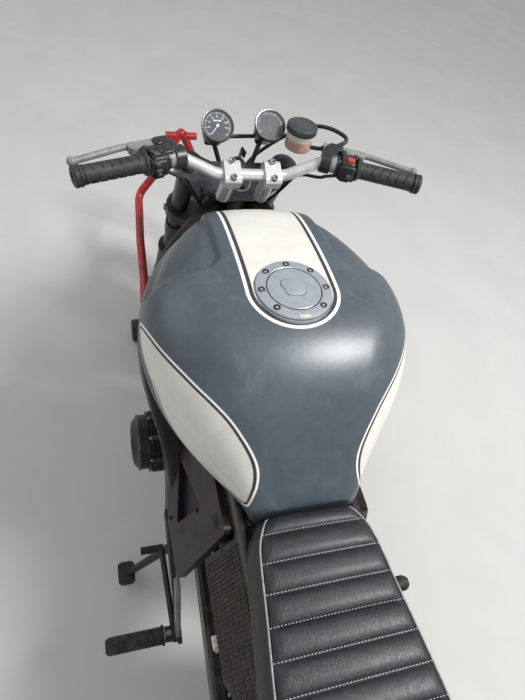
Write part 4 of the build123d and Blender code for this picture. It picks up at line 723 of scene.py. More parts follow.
def tankPaint():
    material, tree, shader = blankFinish("tankPaint")
    axes = axesOf(tree, objectPlace(tree))
    slate = cloudyOf(tree, tank["slate"], tank["deep"], 5.0, 0.5, 0.25)[0]
    worn = cloudyOf(tree, slate, tank["worn"], 22.0, 0.66, 0.14)[1]
    cream = cloudyOf(tree, tank["cream"], tank["creamAged"], 14.0, 0.56, 0.2)[0]
    # centre panel: straight sides and a round end behind the cap
    behind = mathOf(tree, "MAXIMUM", less(tree, tank["stripeCentre"], axes[1]), 0.0)
    back = product(tree, behind, tank["stripeRound"])
    reach = mathOf(tree, "SQRT", total(tree, product(tree, axes[0], axes[0]), product(tree, back, back)))
    inside = less(tree, tank["stripeHalf"], reach)
    top = stepAt(tree, axes[2], tank["stripeFrom"])
    edge = put(tree, "ShaderNodeAttribute", attribute_name="kneeEdge").outputs["Fac"]
    color = blendOf(tree, product(tree, worn, 0.28), slate, tank["worn"])
    for start, layer in ((0.0, tank["white"]), (tank["whiteWidth"], tank["line"]), (tank["darkWidth"], cream)):
        color = blendOf(tree, product(tree, stepAt(tree, inside, start), top), color, layer)
    for start, layer in ((0.0, tank["white"]), (tank["kneeWhite"], tank["line"]), (tank["kneeDark"], cream)):
        color = blendOf(tree, stepAt(tree, edge, start), color, layer)
    setShader(tree, shader, {"Base Color": dusted(tree, color, 0.10, 60.0), "Coat Weight": 0.12,
                             "Coat Roughness": 0.25, "Roughness": total(tree, product(tree, worn, 0.12), 0.37)})
    grain = useGroup(tree, "grain", {"Scale": 420.0, "Pits": 0.1})[0]
    lines = product(tree, total(tree, stepAt(tree, inside, 0.0), stepAt(tree, edge, 0.0)), 0.5)
    setBump(tree, shader, total(tree, product(tree, grain, 0.35), lines), 0.3, 0.0003)
    return material


tankPiece = showPiece("tankShell", makeTank(), tankPaint(), "frame", ["fuel_tank"], angle=60)
print("tank done", len(tankPiece.data.polygons))

# filler cap: screwed ring, lid and key flap; no mark on it
cap = {"centre": (0.0, -0.060, 0.994), "outer": 0.0628, "ring": 0.0455, "screws": 0.0540,
       "flap": [(-0.0165, -0.015), (0.0, -0.0155), (0.0165, -0.015), (0.0168, 0.001), (0.0205, 0.003),
                (0.0210, 0.012), (0.013, 0.019), (-0.013, 0.019), (-0.0210, 0.012), (-0.0205, 0.003),
                (-0.0168, 0.001)]}
capPlace = Matrix.Translation(cap["centre"])


def flapRing(mesh, height, wide=1.0, deep=1.0):
    # the key flap's outline at one height above the cap's foot
    return [mesh.verts.new(capPlace @ Vector((x * wide, y * deep, height))) for x, y in smoother(cap["flap"], 1)]


def makeCap():
    mesh = bmesh.new()
    outer, ring = cap["outer"], cap["ring"]
    lathe(mesh, [(0, 0), (outer, 0), (outer, 0.0052), (outer - 0.0008, 0.0064), (outer - 0.0030, 0.0070),
                 (ring + 0.0040, 0.0078), (ring + 0.0012, 0.0078), (ring + 0.0004, 0.0072), (ring, 0.0058),
                 (ring - 0.0012, 0.0058), (ring - 0.0016, 0.0074), (ring - 0.0024, 0.0080), (ring - 0.012, 0.0084),
                 (0.014, 0.0085), (0, 0.0085)], capPlace, 128)
    low, mid, high = flapRing(mesh, 0.0075), flapRing(mesh, 0.0094), flapRing(mesh, 0.0099, 0.93, 0.93)
    walls(mesh, low, mid)
    walls(mesh, mid, high)
    mesh.faces.new(high)
    mesh.faces.new(low[::-1])
    block(mesh, capPlace @ Matrix.Translation((0, -0.0075, 0.0098)), (0.012, 0.003, 0.0016), 0.0005)
    return mesh


def capLines():
    # dark lines: the gap round the lid, and round the flap
    mesh, ring = bmesh.new(), cap["ring"]
    lathe(mesh, [(ring - 0.0016, 0.0056), (ring - 0.0014, 0.0072), (ring + 0.0003, 0.0071), (ring + 0.0004, 0.0056),
                 (ring - 0.0016, 0.0056)], capPlace, 128)
    prism(mesh, flapRing(mesh, 0.0072, 1.045, 1.05), flapRing(mesh, 0.0087, 1.045, 1.05))
    return mesh


addFinish("capBrushed", color=(170, 177, 182), second=(160, 168, 173), rough=0.38, metal=0.5, patch=40.0,
          brushed=(30.0, 900.0, 900.0), bump=0.2, spread=0.06, dust=0.04, bare=(200, 200, 200))
addFinish("plugWhite", color=(206, 202, 190), second=(180, 174, 160), rough=0.4, patch=90.0, grain=1800.0, dust=0.2)
asPiece("fillerCap", makeCap(), finishes["capBrushed"], "frame", ["filler_cap"], angle=28)
notch, collar = bmesh.new(), bmesh.new()
block(notch, capPlace @ Matrix.Translation((0.001, -0.0580, 0.0066)), (0.019, 0.0066, 0.0034), 0.0007)
asPiece("capNotch", notch, finishes["plugWhite"], "frame")
asPiece("capLines", capLines(), finishes["boltBlack"], "frame")
lathe(collar, [(0.0600, -0.004), (0.0644, -0.004), (0.0648, 0.0004), (0.0644, 0.0020), (0.0638, 0.0026),
               (0.0632, 0.0020), (0.0630, 0.0), (0.0600, -0.001), (0.0600, -0.004)], capPlace, 128)
asPiece("capCollar", collar, finishes["capBrushed"], "frame")

# screws and bolts
units = {
    "socket": latheUnit("socketBolt", [(0, -0.002), (0.0048, -0.002), (0.0048, 0.0040), (0.0044, 0.0046),
                                       (0.0026, 0.0046), (0.0024, 0.0022), (0, 0.0022)], 18),
    "sunk": latheUnit("sunkScrew", [(0, -0.001), (0.0046, -0.001), (0.0046, 0.0003), (0.0042, 0.0006),
                                    (0.0030, 0.0001), (0.0021, 0.0001), (0.0019, -0.0005), (0, -0.0005)], 20),
}


def boltPiece(name, rows, unit, finish, body):
    showPiece(name, atPoints(name, rows, units[unit], finishes[finish]), None, body)


capScrews = []
for step in range(1, 8):
    # seven of eight places: the notch takes the rear one
    turn = math.radians(-90 + 45 * step)
    spot = (cap["screws"] * math.cos(turn), cap["screws"] * math.sin(turn), 0.0078)
    capScrews.append((capPlace @ Vector(spot), (0, 0, 1), 1.25))
boltPiece("capScrews", capScrews, "sunk", "boltBlack", "frame")
print("cap done")

# seat: crowned ribs sewn across, piped edge, stitched valleys
seat = {
    "front": -0.3403, "length": 0.560, "base": 0.752, "flare": 0.0125, "ribPitch": 0.0416, "firstSeam": -0.371,
    "ribHeight": 0.0082, "crown": 0.005, "piping": 0.0015, "stations": 300, "edge": 0.006, "bulge": 0.0032,
    "endRound": 0.018, "endPull": 0.07, "endDrop": 0.28, "pipeRise": 0.016,
    "half": [(0.0, 0.066), (0.02, 0.078), (0.05, 0.088), (0.10, 0.095), (0.25, 0.104), (0.42, 0.116), (0.58, 0.124),
             (0.74, 0.130), (0.86, 0.127), (0.93, 0.119), (0.97, 0.107), (1.0, 0.092)],
    "rise": [(0.0, 0.033), (0.04, 0.038), (0.10, 0.041), (0.42, 0.040), (0.74, 0.042), (0.93, 0.046), (1.0, 0.042)],
    "blend": (-0.035, -0.0175, 0.0, 0.0175, 0.035), "ribFlat": 2.4, "ribFull": 0.6, "overhang": 0.006,
    "leather": tint(19, 21, 25), "leatherWorn": tint(29, 33, 39),
}
seams = [seat["firstSeam"] - step * seat["ribPitch"] for step in range(13)]


def smoothBetween(table, where):
    # rounded corners between the rows
    spread = seat["blend"]
    return sum(between(table, max(0.0, min(1.0, where + s))) for s in spread) / len(spread)


def seatShare(y):
    return max(0.0, min(1.0, (seat["front"] - y) / seat["length"]))


def endRound(y):
    # 1 in the middle, falling to 0 at both ends
    near = min(seat["front"] - y, y - (seat["front"] - seat["length"]))
    share = max(0.0, min(1.0, near / seat["endRound"]))
    return math.sqrt(1 - (1 - share) ** 2)


def ribAt(y):
    edges = [seat["front"] + seat["overhang"], *seams, seat["front"] - seat["length"] - seat["overhang"]]
    for front, rear in zip(edges, edges[1:]):
        if rear <= y <= front:
            across = 2 * (front - y) / (front - rear) - 1
            return seat["ribHeight"] * max(0.0, 1 - abs(across) ** seat["ribFlat"]) ** seat["ribFull"]
    return 0.0


def seatHalf(y):
    # half the width, pulled in at both ends
    return smoothBetween(seat["half"], seatShare(y)) * (1 - seat["endPull"] * (1 - endRound(y)))


def seatTop(x, y):
    share = seatShare(y)
    half = smoothBetween(seat["half"], share)
    out = min(1.0, abs(x) / half)
    pipe = max(0.0, min(1.0, (half - abs(x)) / seat["pipeRise"]))
    rise = smoothBetween(seat["rise"], share) + seat["crown"] * (1 - out ** 2) + ribAt(y) * math.sqrt(pipe)
    return seat["base"] + rise * (1 - seat["endDrop"] * (1 - endRound(y)))


def seatRing(y):
    # base, right wall, rounded edge and top; the left side mirrors the right
    half, base, r = seatHalf(y), seat["base"], seat["edge"]
    edge, foot = seatTop(half, y), half + seat["flare"]
    ring = [(-foot + 2 * foot * step / 8, base) for step in range(8)]
    wall = []
    for rise in [step / 9 for step in range(9)]:
        bulge = seat["bulge"] * math.sin(math.pi * rise)
        wall.append((foot - seat["flare"] * rise + bulge, base + (edge - r - base) * rise))
    for turn in [math.pi / 2 * step / 5 for step in range(5)]:
        wall.append((half - r + r * math.cos(turn), edge - r + r * math.sin(turn)))
    top = [(x, seatTop(x, y)) for x in [(half - r) * (1 - step / 24) for step in range(49)]]
    return ring + wall + top + [(-x, z) for x, z in reversed(wall[1:])]


def makeSeat():
    mesh = bmesh.new()
    rings = []
    for step in range(seat["stations"] + 1):
        # closer rows near both ends
        share = step / seat["stations"]
        y = seat["front"] - seat["length"] * (share - math.sin(2 * math.pi * share) * 0.012)
        rings.append([mesh.verts.new((x, y, z)) for x, z in seatRing(y)])
    for low, high in zip(rings, rings[1:]):
        walls(mesh, low, high)
    for ring in (rings[0], rings[-1]):
        closeEnd(mesh, ring, (0.5,))
    return mesh


def seatLeather():
    # small pores and long creases across the ribs
    material, tree, shader = blankFinish("seatLeather")
    leather = cloudyOf(tree, seat["leather"], seat["leatherWorn"], 30.0, 0.58, 0.22)[0]
    where = objectPlace(tree)
    cells = put(tree, "ShaderNodeTexVoronoi", {"Vector": where, "Scale": 620.0}, feature="DISTANCE_TO_EDGE")
    pores = ramp(tree, cells.outputs["Distance"], 0.0, 0.18)
    stretched = stretchOf(tree, where, (260.0, 34.0, 60.0))
    folds = ramp(tree, noiseOf(tree, stretched, 1.0, 5.0, Roughness=0.65, Distortion=0.8), 0.46, 0.54)
    setShader(tree, shader, {"Base Color": dusted(tree, leather, 0.05, 90.0), "Coat Weight": 0.08,
                             "Coat Roughness": 0.35, "Roughness": total(tree, product(tree, pores, -0.10), 0.44)})
    height = total(tree, product(tree, pores, 0.5), product(tree, folds, 0.35))
    setBump(tree, shader, height, 0.62, 0.0004)
    return material


cushion = asPiece("seatCushion", makeSeat(), seatLeather(), "frame", ["seat_cushion"], angle=80)
addFinish("thread", color=(196, 198, 198), second=(160, 162, 160), rough=0.7, patch=300.0, grain=3000.0, dust=0.1)
addFinish("pipingGrey", color=(158, 160, 160), second=(126, 128, 128), rough=0.5, patch=80.0, grain=1600.0, bump=0.5)
stitch = latheUnit("stitch", [(0, -0.0015), (0.0005, -0.0012), (0.0006, 0), (0.0005, 0.0012), (0, 0.0015)], 6)
stitches = bmesh.new()
for seamY in seams:
    half, y = smoothBetween(seat["half"], seatShare(seamY)) - 0.004, seamY + 0.0012
    row = [(x, y, seatTop(x, y) + 0.0004) for x in [half * (step / 24 - 1) for step in range(49)]]
    stitches.from_mesh(alongPath("seatStitches", row, stitch, 0.0052, finishes["thread"]))
seatStitches = bpy.data.meshes.new("seatStitches")
stitches.to_mesh(seatStitches)
stitches.free()
showPiece("seatStitches", seatStitches, finishes["thread"], "frame")
edgeLine = []
for step in range(60):
    y = seat["front"] - 0.0015 - (seat["length"] - 0.003) * step / 59
    half = seatHalf(y)
    edgeLine.append((half - 0.0006, y, seatTop(half, y) - 0.0006))
loop = edgeLine + [(-x, y, z) for x, y, z in reversed(edgeLine)]
showPiece("seatPiping", tubeMesh("seatPiping", loop, seat["piping"], closed=True, sides=3, resolution=3),
          finishes["pipingGrey"], "frame")
print("seat done")

# bar ends: grips, switch blocks, controls
barWay = (barTip - barBend).normalized()
barFore = Vector((0, 0, 1)).cross(barWay)
gripStart = 0.06784


def onBar(side, out, fore=0.0, up=0.0):
    point = barBend + barWay * out + barFore * fore + Vector((0, 0, up))
    return Vector((point.x * side, point.y, point.z))


def barPlace(side, out, fore=0.0, up=0.0):
    # x fore, y up, z out along the bar
    way = Vector((barWay.x * side, barWay.y, barWay.z))
    return facing(onBar(side, out, fore, up), way, Vector((barFore.x * side, barFore.y, 0)))


gripLook = {"radius": 0.0163, "grooveDepth": 0.0016, "groovePitch": 0.0165, "grooveHalf": 0.09,
            "grooved": (0.014, 0.104), "gapTurn": 0.6, "gapFrom": 0.55, "flange": 0.0212, "end": 0.0188}


def gripMesh(mesh, side):
    def groove(angle, height, count):
        # slanted grooves, broken twice round the grip
        first, last = gripLook["grooved"]
        if not first < height < last:
            return 0.0
        phase = (height / gripLook["groovePitch"] + side * angle / math.pi) % 1.0
        cut = max(0.0, 1 - abs(phase - 0.5) / gripLook["grooveHalf"])
        broken = 0.0 if math.sin(angle * 2 + gripLook["gapTurn"]) > gripLook["gapFrom"] else 1.0
        return -gripLook["grooveDepth"] * min(1.0, cut * 1.6) * broken
    r, flange, end = gripLook["radius"], gripLook["flange"], gripLook["end"]
    profile = [(0.0112, 0.0), (flange - 0.0008, 0.0), (flange, 0.0008), (flange, 0.003), (flange - 0.001, 0.004),
               (r + 0.0012, 0.0052), (r + 0.0002, 0.009)]
    profile += [(r, 0.010 + 0.0009 * step) for step in range(110)]
    profile += [(r + 0.0004, 0.1095), (r + 0.0004, 0.1110), (r - 0.0012, 0.1120), (r - 0.0012, 0.1132),
                (end, 0.1150), (end, 0.1180), (end - 0.0016, 0.1196), (end - 0.0016, 0.1206), (end, 0.1218),
                (end, 0.1264), (end - 0.0018, 0.1280), (0.008, 0.1284), (0.0072, 0.1270), (0, 0.1270)]
    lathe(mesh, profile, barPlace(side, gripStart), 96, groove)


addFinish("gripRubber", color=(30, 32, 33), second=(43, 45, 46), rough=0.58, patch=70.0, grain=1800.0, bump=0.5,
          dust=0.14)
grips = bmesh.new()
for side in (-1, 1):
    gripMesh(grips, side)
asPiece("barGrips", grips, finishes["gripRubber"], "steering", ["handlebar_grips"], angle=35)

# each block: fore, up, out, then its size, then its rounding, in millimetres
switchBlocks = {
    -1: [((0, -4, 0), (43, 32, 37), 6), ((-1, 11, -3), (38, 17, 31), 5), ((19, 3, -2), (14, 26, 29), 4),
         ((-20, 3, 3), (13, 27, 29), 4), ((-2, 2, 17.4), (35, 34, 2.4), 1), ((4, 20, 8), (17, 7, 9), 2),
         ((4, 19, -9), (20, 7, 8), 2), ((22, 12, 10), (9, 10, 9), 2), ((-14, -17, 2), (16, 11, 22), 4),
         ((15, 8, -36), (40, 24, 26), 6), ((34, 10, -28), (22, 18, 30), 5), ((4, 14, -22), (26, 14, 20), 4)],
    1: [((0, -4, 0), (42, 32, 36), 6), ((0, 10, -1), (36, 18, 29), 5), ((19, 0, 4), (13, 24, 24), 4),
        ((-19, 2, 0), (12, 26, 27), 4), ((0, 2, 17), (34, 34, 2.4), 1), ((8, 19, 11), (15, 6, 8), 2),
        ((-14, -16, -2), (15, 10, 20), 3), ((20, 14, -12), (14, 10, 12), 3), ((15, 8, -36), (40, 24, 26), 6),
        ((34, 10, -28), (22, 18, 30), 5)],
}
buttonBlocks = {
    -1: [((-27, 12, 8), (6, 8, 9), 1.8), ((-27, 0, 6), (7, 6, 12), 1.8), ((-26, -9, 4), (6, 7, 7), 1.8),
         ((-10, 21, 3), (9, 6, 12), 1.8)],
    1: [((-26, -4, 3), (6, 8, 9), 1.8)],
}
killSwitch = [((-8, 20, 2), (12, 8, 15), 2.4)]


def blocksAt(mesh, side, rows, middle=gripStart - 0.0195):
    for (fore, up, out), size, rounding in rows:
        block(mesh, barPlace(side, middle + out / 1000, fore / 1000, up / 1000), [s / 1000 for s in size],
              rounding / 1000)


def barCollar(mesh, side, out, radius, width):
    lathe(mesh, [(0.0111, 0), (radius - 0.001, 0), (radius, 0.001), (radius, width - 0.001), (radius - 0.001, width),
                 (0.0111, width)], barPlace(side, out), 40)


controls, buttons, redKnob = bmesh.new(), bmesh.new(), bmesh.new()
for side in (-1, 1):
    blocksAt(controls, side, switchBlocks[side])
    blocksAt(buttons, side, buttonBlocks[side])
    barCollar(controls, side, gripStart - 0.0430, 0.0190, 0.005)
    barCollar(controls, side, gripStart - 0.0740, 0.0208, 0.020)
    barCollar(controls, side, gripStart - 0.0020, 0.0225, 0.003)
blocksAt(redKnob, 1, killSwitch)
addFinish("buttonGrey", color=(70, 72, 74), second=(56, 58, 60), rough=0.5, patch=120.0, grain=1800.0, bump=0.4,
          bare=(110, 110, 110))
addFinish("knobRed", color=(196, 54, 34), second=(168, 42, 28), rough=0.45, patch=140.0, grain=1800.0, bump=0.3,
          bare=(212, 120, 96))
asPiece("switchBlocks", controls, finishes["controlBlack"], "steering", ["switch_housings"])
asPiece("switchButtons", buttons, finishes["buttonGrey"], "steering")
asPiece("killSwitch", redKnob, finishes["knobRed"], "steering")
print("bar ends done")

# clocks: tapered cups, bright rims, printed dials, needles
clocks = {
    "speed": dict(place=(-0.058, 0.3325, 1.040), needle=218, ticks=41, sweep=270, start=-135, dial=tint(15, 17, 19),
                  ink=tint(226, 230, 230), numbers=[20, 40, 60, 80, 100, 120, 140]),
    "revs": dict(place=(0.050, 0.3435, 1.040), needle=None, ticks=25, sweep=240, start=-120, dial=tint(32, 37, 44),
                 ink=tint(150, 156, 160), numbers=[]),
}
clockLean = math.radians(38)
clockWay = Vector((0, -math.sin(clockLean), math.cos(clockLean)))
clockCups, clockRims, needles, marks = bmesh.new(), bmesh.new(), bmesh.new(), bmesh.new()


def dialBar(mesh, place, angle, near, far, width, lift):
    # a flat bar on the dial, its angle clockwise from the top
    turn = math.radians(angle)
    out, side = Vector((math.sin(turn), math.cos(turn), 0)), Vector((math.cos(turn), -math.sin(turn), 0))
    corners = [out * near - side * width / 2, out * near + side * width / 2, out * far + side * width / 2,
               out * far - side * width / 2]
    prism(mesh, *[[mesh.verts.new(place @ (c + Vector((0, 0, up)))) for c in corners] for up in (lift, lift + 0.0003)])


def dialNumber(text, place, angle, reach, size):
    curve = bpy.data.curves.new("number" + text, "FONT")
    curve.body, curve.size, curve.align_x, curve.align_y, curve.extrude = text, size, "CENTER", "CENTER", 0.0001
    data = finalMesh(bpy.data.objects.new("number" + text, curve))
    turn = math.radians(angle)
    data.transform(place @ Matrix.Translation((reach * math.sin(turn), reach * math.cos(turn), 0)))
    return data


addFinish("dialInk", color=(224, 228, 228), second=(200, 204, 204), rough=0.5, patch=400.0, grain=3000.0, dust=0.0)
addFinish("dialCopper", color=(186, 112, 74), second=(150, 88, 60), rough=0.4, patch=400.0, grain=3000.0, dust=0.0)
addFinish("rimChrome", color=(126, 124, 120), second=(96, 92, 88), rough=0.24, metal=0.9, patch=80.0, grain=2500.0,
          bump=0.1, dust=0.06)
copper, numberMeshes = bmesh.new(), []
for name, look in clocks.items():
    place = facing(look["place"], clockWay)
    lathe(clockCups, [(0, -0.052), (0.0185, -0.052), (0.0200, -0.050), (0.0212, -0.044), (0.0222, -0.043),
                      (0.0262, -0.018), (0.0290, -0.012), (0.0296, -0.007), (0.0306, -0.006), (0.0306, 0.0004),
                      (0.0286, 0.0004), (0.0282, -0.0010), (0, -0.0010)], place, 72)
    lathe(clockRims, [(0.0284, 0.0002), (0.0312, -0.0004), (0.0318, 0.0010), (0.0317, 0.0028), (0.0306, 0.0040),
                      (0.0290, 0.0038), (0.0282, 0.0024), (0.0284, 0.0002)], place, 72)
    dial = bmesh.new()
    lathe(dial, [(0, -0.0012), (0.0284, -0.0012), (0.0284, -0.0002), (0, -0.0002)], place, 64)
    dialSecond = (*[c * 1.4 for c in look["dial"][:3]], 1)
    addFinish(name + "Dial", color=look["dial"], second=dialSecond, rough=0.5, patch=60.0, grain=2500.0, dust=0.0)
    asPiece(name + "Dial", dial, finishes[name + "Dial"], "steering")
    for step in range(look["ticks"]):
        angle = look["start"] + look["sweep"] * step / (look["ticks"] - 1)
        long = step % 5 == 0
        dialBar(marks, place, angle, 0.0212 if long else 0.0230, 0.0258, 0.0011 if long else 0.0006, -0.0003)
    for count, value in enumerate(look["numbers"]):
        angle = look["start"] + look["sweep"] * (count + 1) / (len(look["numbers"]) + 1)
        numberMeshes.append(dialNumber(str(value), place, angle, 0.0172, 0.0052))
    if look["needle"] is not None:
        dialBar(needles, place, look["needle"], -0.004, 0.0215, 0.0014, 0.0006)
        lathe(needles, [(0, 0.0), (0.0032, 0.0), (0.0032, 0.0012), (0.0024, 0.0020), (0, 0.0022)], place, 24)
        for step in range(5):
            lightAt = place @ Matrix.Translation((-0.0068 + 0.0034 * step, 0.0098, 0))
            block(marks, lightAt, (0.0026, 0.0034, 0.0005), 0.0002, 1)
    else:
        for step, across in enumerate((-0.0006, 0.0008, -0.0002, 0.0006)):
            lightAt = place @ Matrix.Translation((across, 0.0105 - 0.0068 * step, 0))
            block(copper, lightAt, (0.0026, 0.0030, 0.0005), 0.0003, 1)
asPiece("clockCups", clockCups, finishes["controlBlack"], "steering", ["instruments"])
asPiece("clockRims", clockRims, finishes["rimChrome"], "steering")
for data in numberMeshes:
    marks.from_mesh(data)
asPiece("dialMarks", marks, finishes["dialInk"], "steering", angle=20)
asPiece("dialNeedle", needles, finishes["dialInk"], "steering", angle=30)
asPiece("dialLights", copper, finishes["dialCopper"], "steering", angle=20)
glass, glassTree, glassShader = blankFinish("clockGlass")
smear = cloudyOf(glassTree, tint(220, 226, 230), tint(200, 206, 210), 60.0)[0]
setShader(glassTree, glassShader, {"Base Color": smear, "Roughness": 0.06, "Alpha": 0.05, "Specular IOR Level": 0.3})
panes = bmesh.new()
for look in clocks.values():
    lathe(panes, [(0, 0.0022), (0.0286, 0.0020), (0.0288, 0.0026), (0.020, 0.0034), (0.010, 0.0038), (0, 0.0039)],
          facing(look["place"], clockWay), 64)
asPiece("clockGlass", panes, glass, "steering", angle=50)
print("clocks done")

# brake reservoir: milky cup, amber fluid, ribbed cap, arm
reservoir = {"place": (0.108, 0.320, 1.010), "cup": 0.0270, "cap": 0.0302, "ribs": 44, "fluidTop": (1.0325, 1.0350)}


def milkyCup():
    material, tree, shader = blankFinish("milkyCup")
    level = ramp(tree, axesOf(tree, objectPlace(tree))[2], *reservoir["fluidTop"])
    fluid = cloudyOf(tree, tint(188, 154, 140), tint(170, 132, 116), 60.0)[0]
    setShader(tree, shader, {"Base Color": blendOf(tree, level, fluid, tint(196, 190, 180)), "Roughness": 0.34,
                             "Subsurface Weight": 0.25, "Subsurface Radius": (0.01, 0.006, 0.004)})
    return material


cup, lid = bmesh.new(), bmesh.new()
place = Matrix.Translation(Vector(reservoir["place"]))
r, big = reservoir["cup"], reservoir["cap"]
lathe(cup, [(0, 0.0), (r - 0.004, 0.0), (r - 0.001, 0.0012), (r, 0.004), (r, 0.030), (r + 0.0016, 0.031),
            (r + 0.0016, 0.037), (0, 0.037)], place, 64)
lathe(lid, [(0, 0.036), (big - 0.0006, 0.036), (big, 0.0366), (big, 0.0470), (big - 0.0010, 0.0486),
            (big - 0.0030, 0.0494), (big - 0.0052, 0.0494), (big - 0.0058, 0.0484), (0.012, 0.0484), (0.0112, 0.0490),
            (0, 0.0490)], place, reservoir["ribs"] * 4,
      lambda angle, height, count: 0.0005 * math.cos(angle * reservoir["ribs"]) if 1 < count < 4 else 0.0)
asPiece("reservoirCup", cup, milkyCup(), "steering", ["brake_reservoir"])
addFinish("capPlastic", color=(46, 49, 54), second=(60, 64, 69), rough=0.5, patch=60.0, grain=1500.0, bump=0.4,
          bare=(112, 114, 116))
asPiece("reservoirCap", lid, finishes["capPlastic"], "steering", angle=50)
armStart, armEnd = onBar(1, 0.0038, 0.038, 0.006), Vector(reservoir["place"]) + Vector((0.014, -0.008, 0.008))
armLine = [armStart, armStart.lerp(armEnd, 0.4) + Vector((0, 0, -0.003)), armEnd]
showPiece("reservoirArm", tubeMesh("reservoirArm", armLine, 0.004), finishes["controlBlack"], "steering")

# hoses and cables: the source's own route points, in metres
hoses = {
    "frontBrakeHose": dict(radius=0.004, length=0.4961, points=[
        onBar(1, gripStart - 0.072, 0.038, 0.004) - barWay * 0.0003, (0.214, 0.282, 1.046), (0.168, 0.330, 1.054),
        (0.118, 0.356, 1.034), onFork(0.058, 0.070, 0.640), onFork(0.042, 0.056, 0.570), onFork(0.042, 0.044, 0.510),
        onFork(0.056, 0.030, 0.470)]),
}
for side, name in ((-1, "leftBrakeHose"), (1, "rightBrakeHose")):
    hoses[name] = dict(radius=0.004, length=0.3102, points=[
        onFork(side * x, fore, up) for x, fore, up in (
            (0.062, 0.026, 0.4657), (0.062, 0.008, 0.420), (0.066, -0.024, 0.366), (0.080, -0.046, 0.314),
            (0.088, -0.052, 0.256), (0.086, -0.062, 0.1744))])
hoses["leftSwitchLead"] = dict(radius=0.0032, length=0.3160, points=[
    onBar(-1, gripStart - 0.036, -0.012, -0.016), onBar(-1, gripStart - 0.060, -0.020, -0.026),
    onBar(-1, 0.004, -0.018, -0.040), onFork(-0.118, -0.052, 0.745), onFork(-0.098, -0.060, 0.700),
    onFork(-0.072, -0.062, 0.640), onFork(-0.040, -0.058, 0.600), onFork(-0.014, -0.052, 0.560)])
hoses["rightSwitchLead"] = dict(radius=0.0032, length=0.3197, points=[
    onBar(1, gripStart - 0.034, -0.010, -0.016), onBar(1, gripStart - 0.060, -0.014, -0.022),
    onBar(1, 0.004, -0.010, -0.030), onFork(0.114, -0.036, 0.748), onFork(0.096, -0.046, 0.700),
    onFork(0.070, -0.050, 0.640), onFork(0.040, -0.052, 0.600), onFork(0.014, -0.050, 0.560)])


def cordPiece(name, look):
    curve = tubeCurve(name, look["points"], look["radius"], resolution=14)
    curve.materials.append(finishes["hoseBlack"])
    piece = bpy.data.objects.new(name, curve)
    bpy.context.scene.collection.objects.link(piece)
    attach(piece, "steering")
    return piece


for name, look in hoses.items():
    piece = cordPiece(name, look)
splitter = bmesh.new()
block(splitter, facing(onFork(0, 0.029, 0.4685), forkUp), (0.130, 0.014, 0.005), 0.0018)
block(splitter, facing(onFork(0, 0.025, 0.485), forkUp), (0.024, 0.012, 0.030), 0.002)
for side, name in ((-1, "leftBrakeHose"), (1, "rightBrakeHose")):
    lathe(splitter, [(0, -0.010), (0.0058, -0.010), (0.0058, 0.0), (0.0066, 0.001), (0.0066, 0.006), (0, 0.006)],
          facing(onFork(side * 0.062, 0.026, 0.4650), -forkUp), 18)
    above, end = hoses[name]["points"][-2:]
    lathe(splitter, [(0, -0.004), (0.0062, -0.004), (0.0062, 0.016), (0, 0.016)], facing(end, above - end), 18)
start, below = [Vector(point) for point in hoses["frontBrakeHose"]["points"][:2]]
lathe(splitter, [(0, -0.002), (0.0064, -0.002), (0.0064, 0.014), (0, 0.014)], facing(start, below - start), 18)
asPiece("hoseFittings", splitter, finishes["boltBlack"], "steering", ["front_brake_hoses"])
print("hoses done")

# top yoke: ignition barrel with its key, stem nut washer
ignition = bmesh.new()
place = facing(onFork(-0.004, -0.004, 0.710), forkUp)
lathe(ignition, [(0, -0.004), (0.0165, -0.004), (0.0165, 0.014), (0.0155, 0.0155), (0.0120, 0.0160), (0.0115, 0.0175),
                 (0.0065, 0.0178), (0, 0.0178)], place, 40)
block(ignition, place @ Matrix.Translation((0, 0, 0.034)), (0.0026, 0.019, 0.022), 0.0012, 3)
block(ignition, place @ Matrix.Translation((0, 0, 0.020)), (0.0020, 0.007, 0.012), 0.0006, 2)
block(ignition, place @ Matrix.Translation((0.010, 0.016, 0.030)) @ Matrix.Rotation(0.5, 4, "Z"),
      (0.004, 0.016, 0.020), 0.0016, 3)
asPiece("ignitionSwitch", ignition, finishes["controlBlack"], "steering")
nut = bmesh.new()
place = facing(onFork(0, -0.0365, 0.710), forkUp)
lathe(nut, [(0.0200, 0.0), (0.0245, 0.0), (0.0245, 0.0014), (0.0236, 0.0022), (0.0200, 0.0022), (0.0200, 0.0)],
      place, 48)
lathe(nut, [(0, 0.0079), (0.0085, 0.0079), (0.0085, 0.0096), (0.0078, 0.0106), (0.0050, 0.0106), (0.0046, 0.0086),
            (0, 0.0086)], place, 32)
asPiece("stemWasher", nut, finishes["boltSteel"], "steering")

# bolts on the steering body: clamps, yokes and calipers
steeringBolts = []
for side in (-1, 1):
    for fore in (-0.0865, -0.0525):
        steeringBolts.append((onFork(side * 0.040, fore, 0.8108), forkUp, 1.25))
    for up in (0.700, 0.508, 0.524):
        steeringBolts.append((onFork(side * 0.1335, 0.004, up), (side, 0, 0), 0.9))
    for up in (0.085, 0.160):
        steeringBolts.append((onFork(side * 0.0985, -0.080, up), (side, 0, 0), 1.1))
boltPiece("steeringBolts", steeringBolts, "socket", "boltSteel", "steering")
print("steering bolts done")

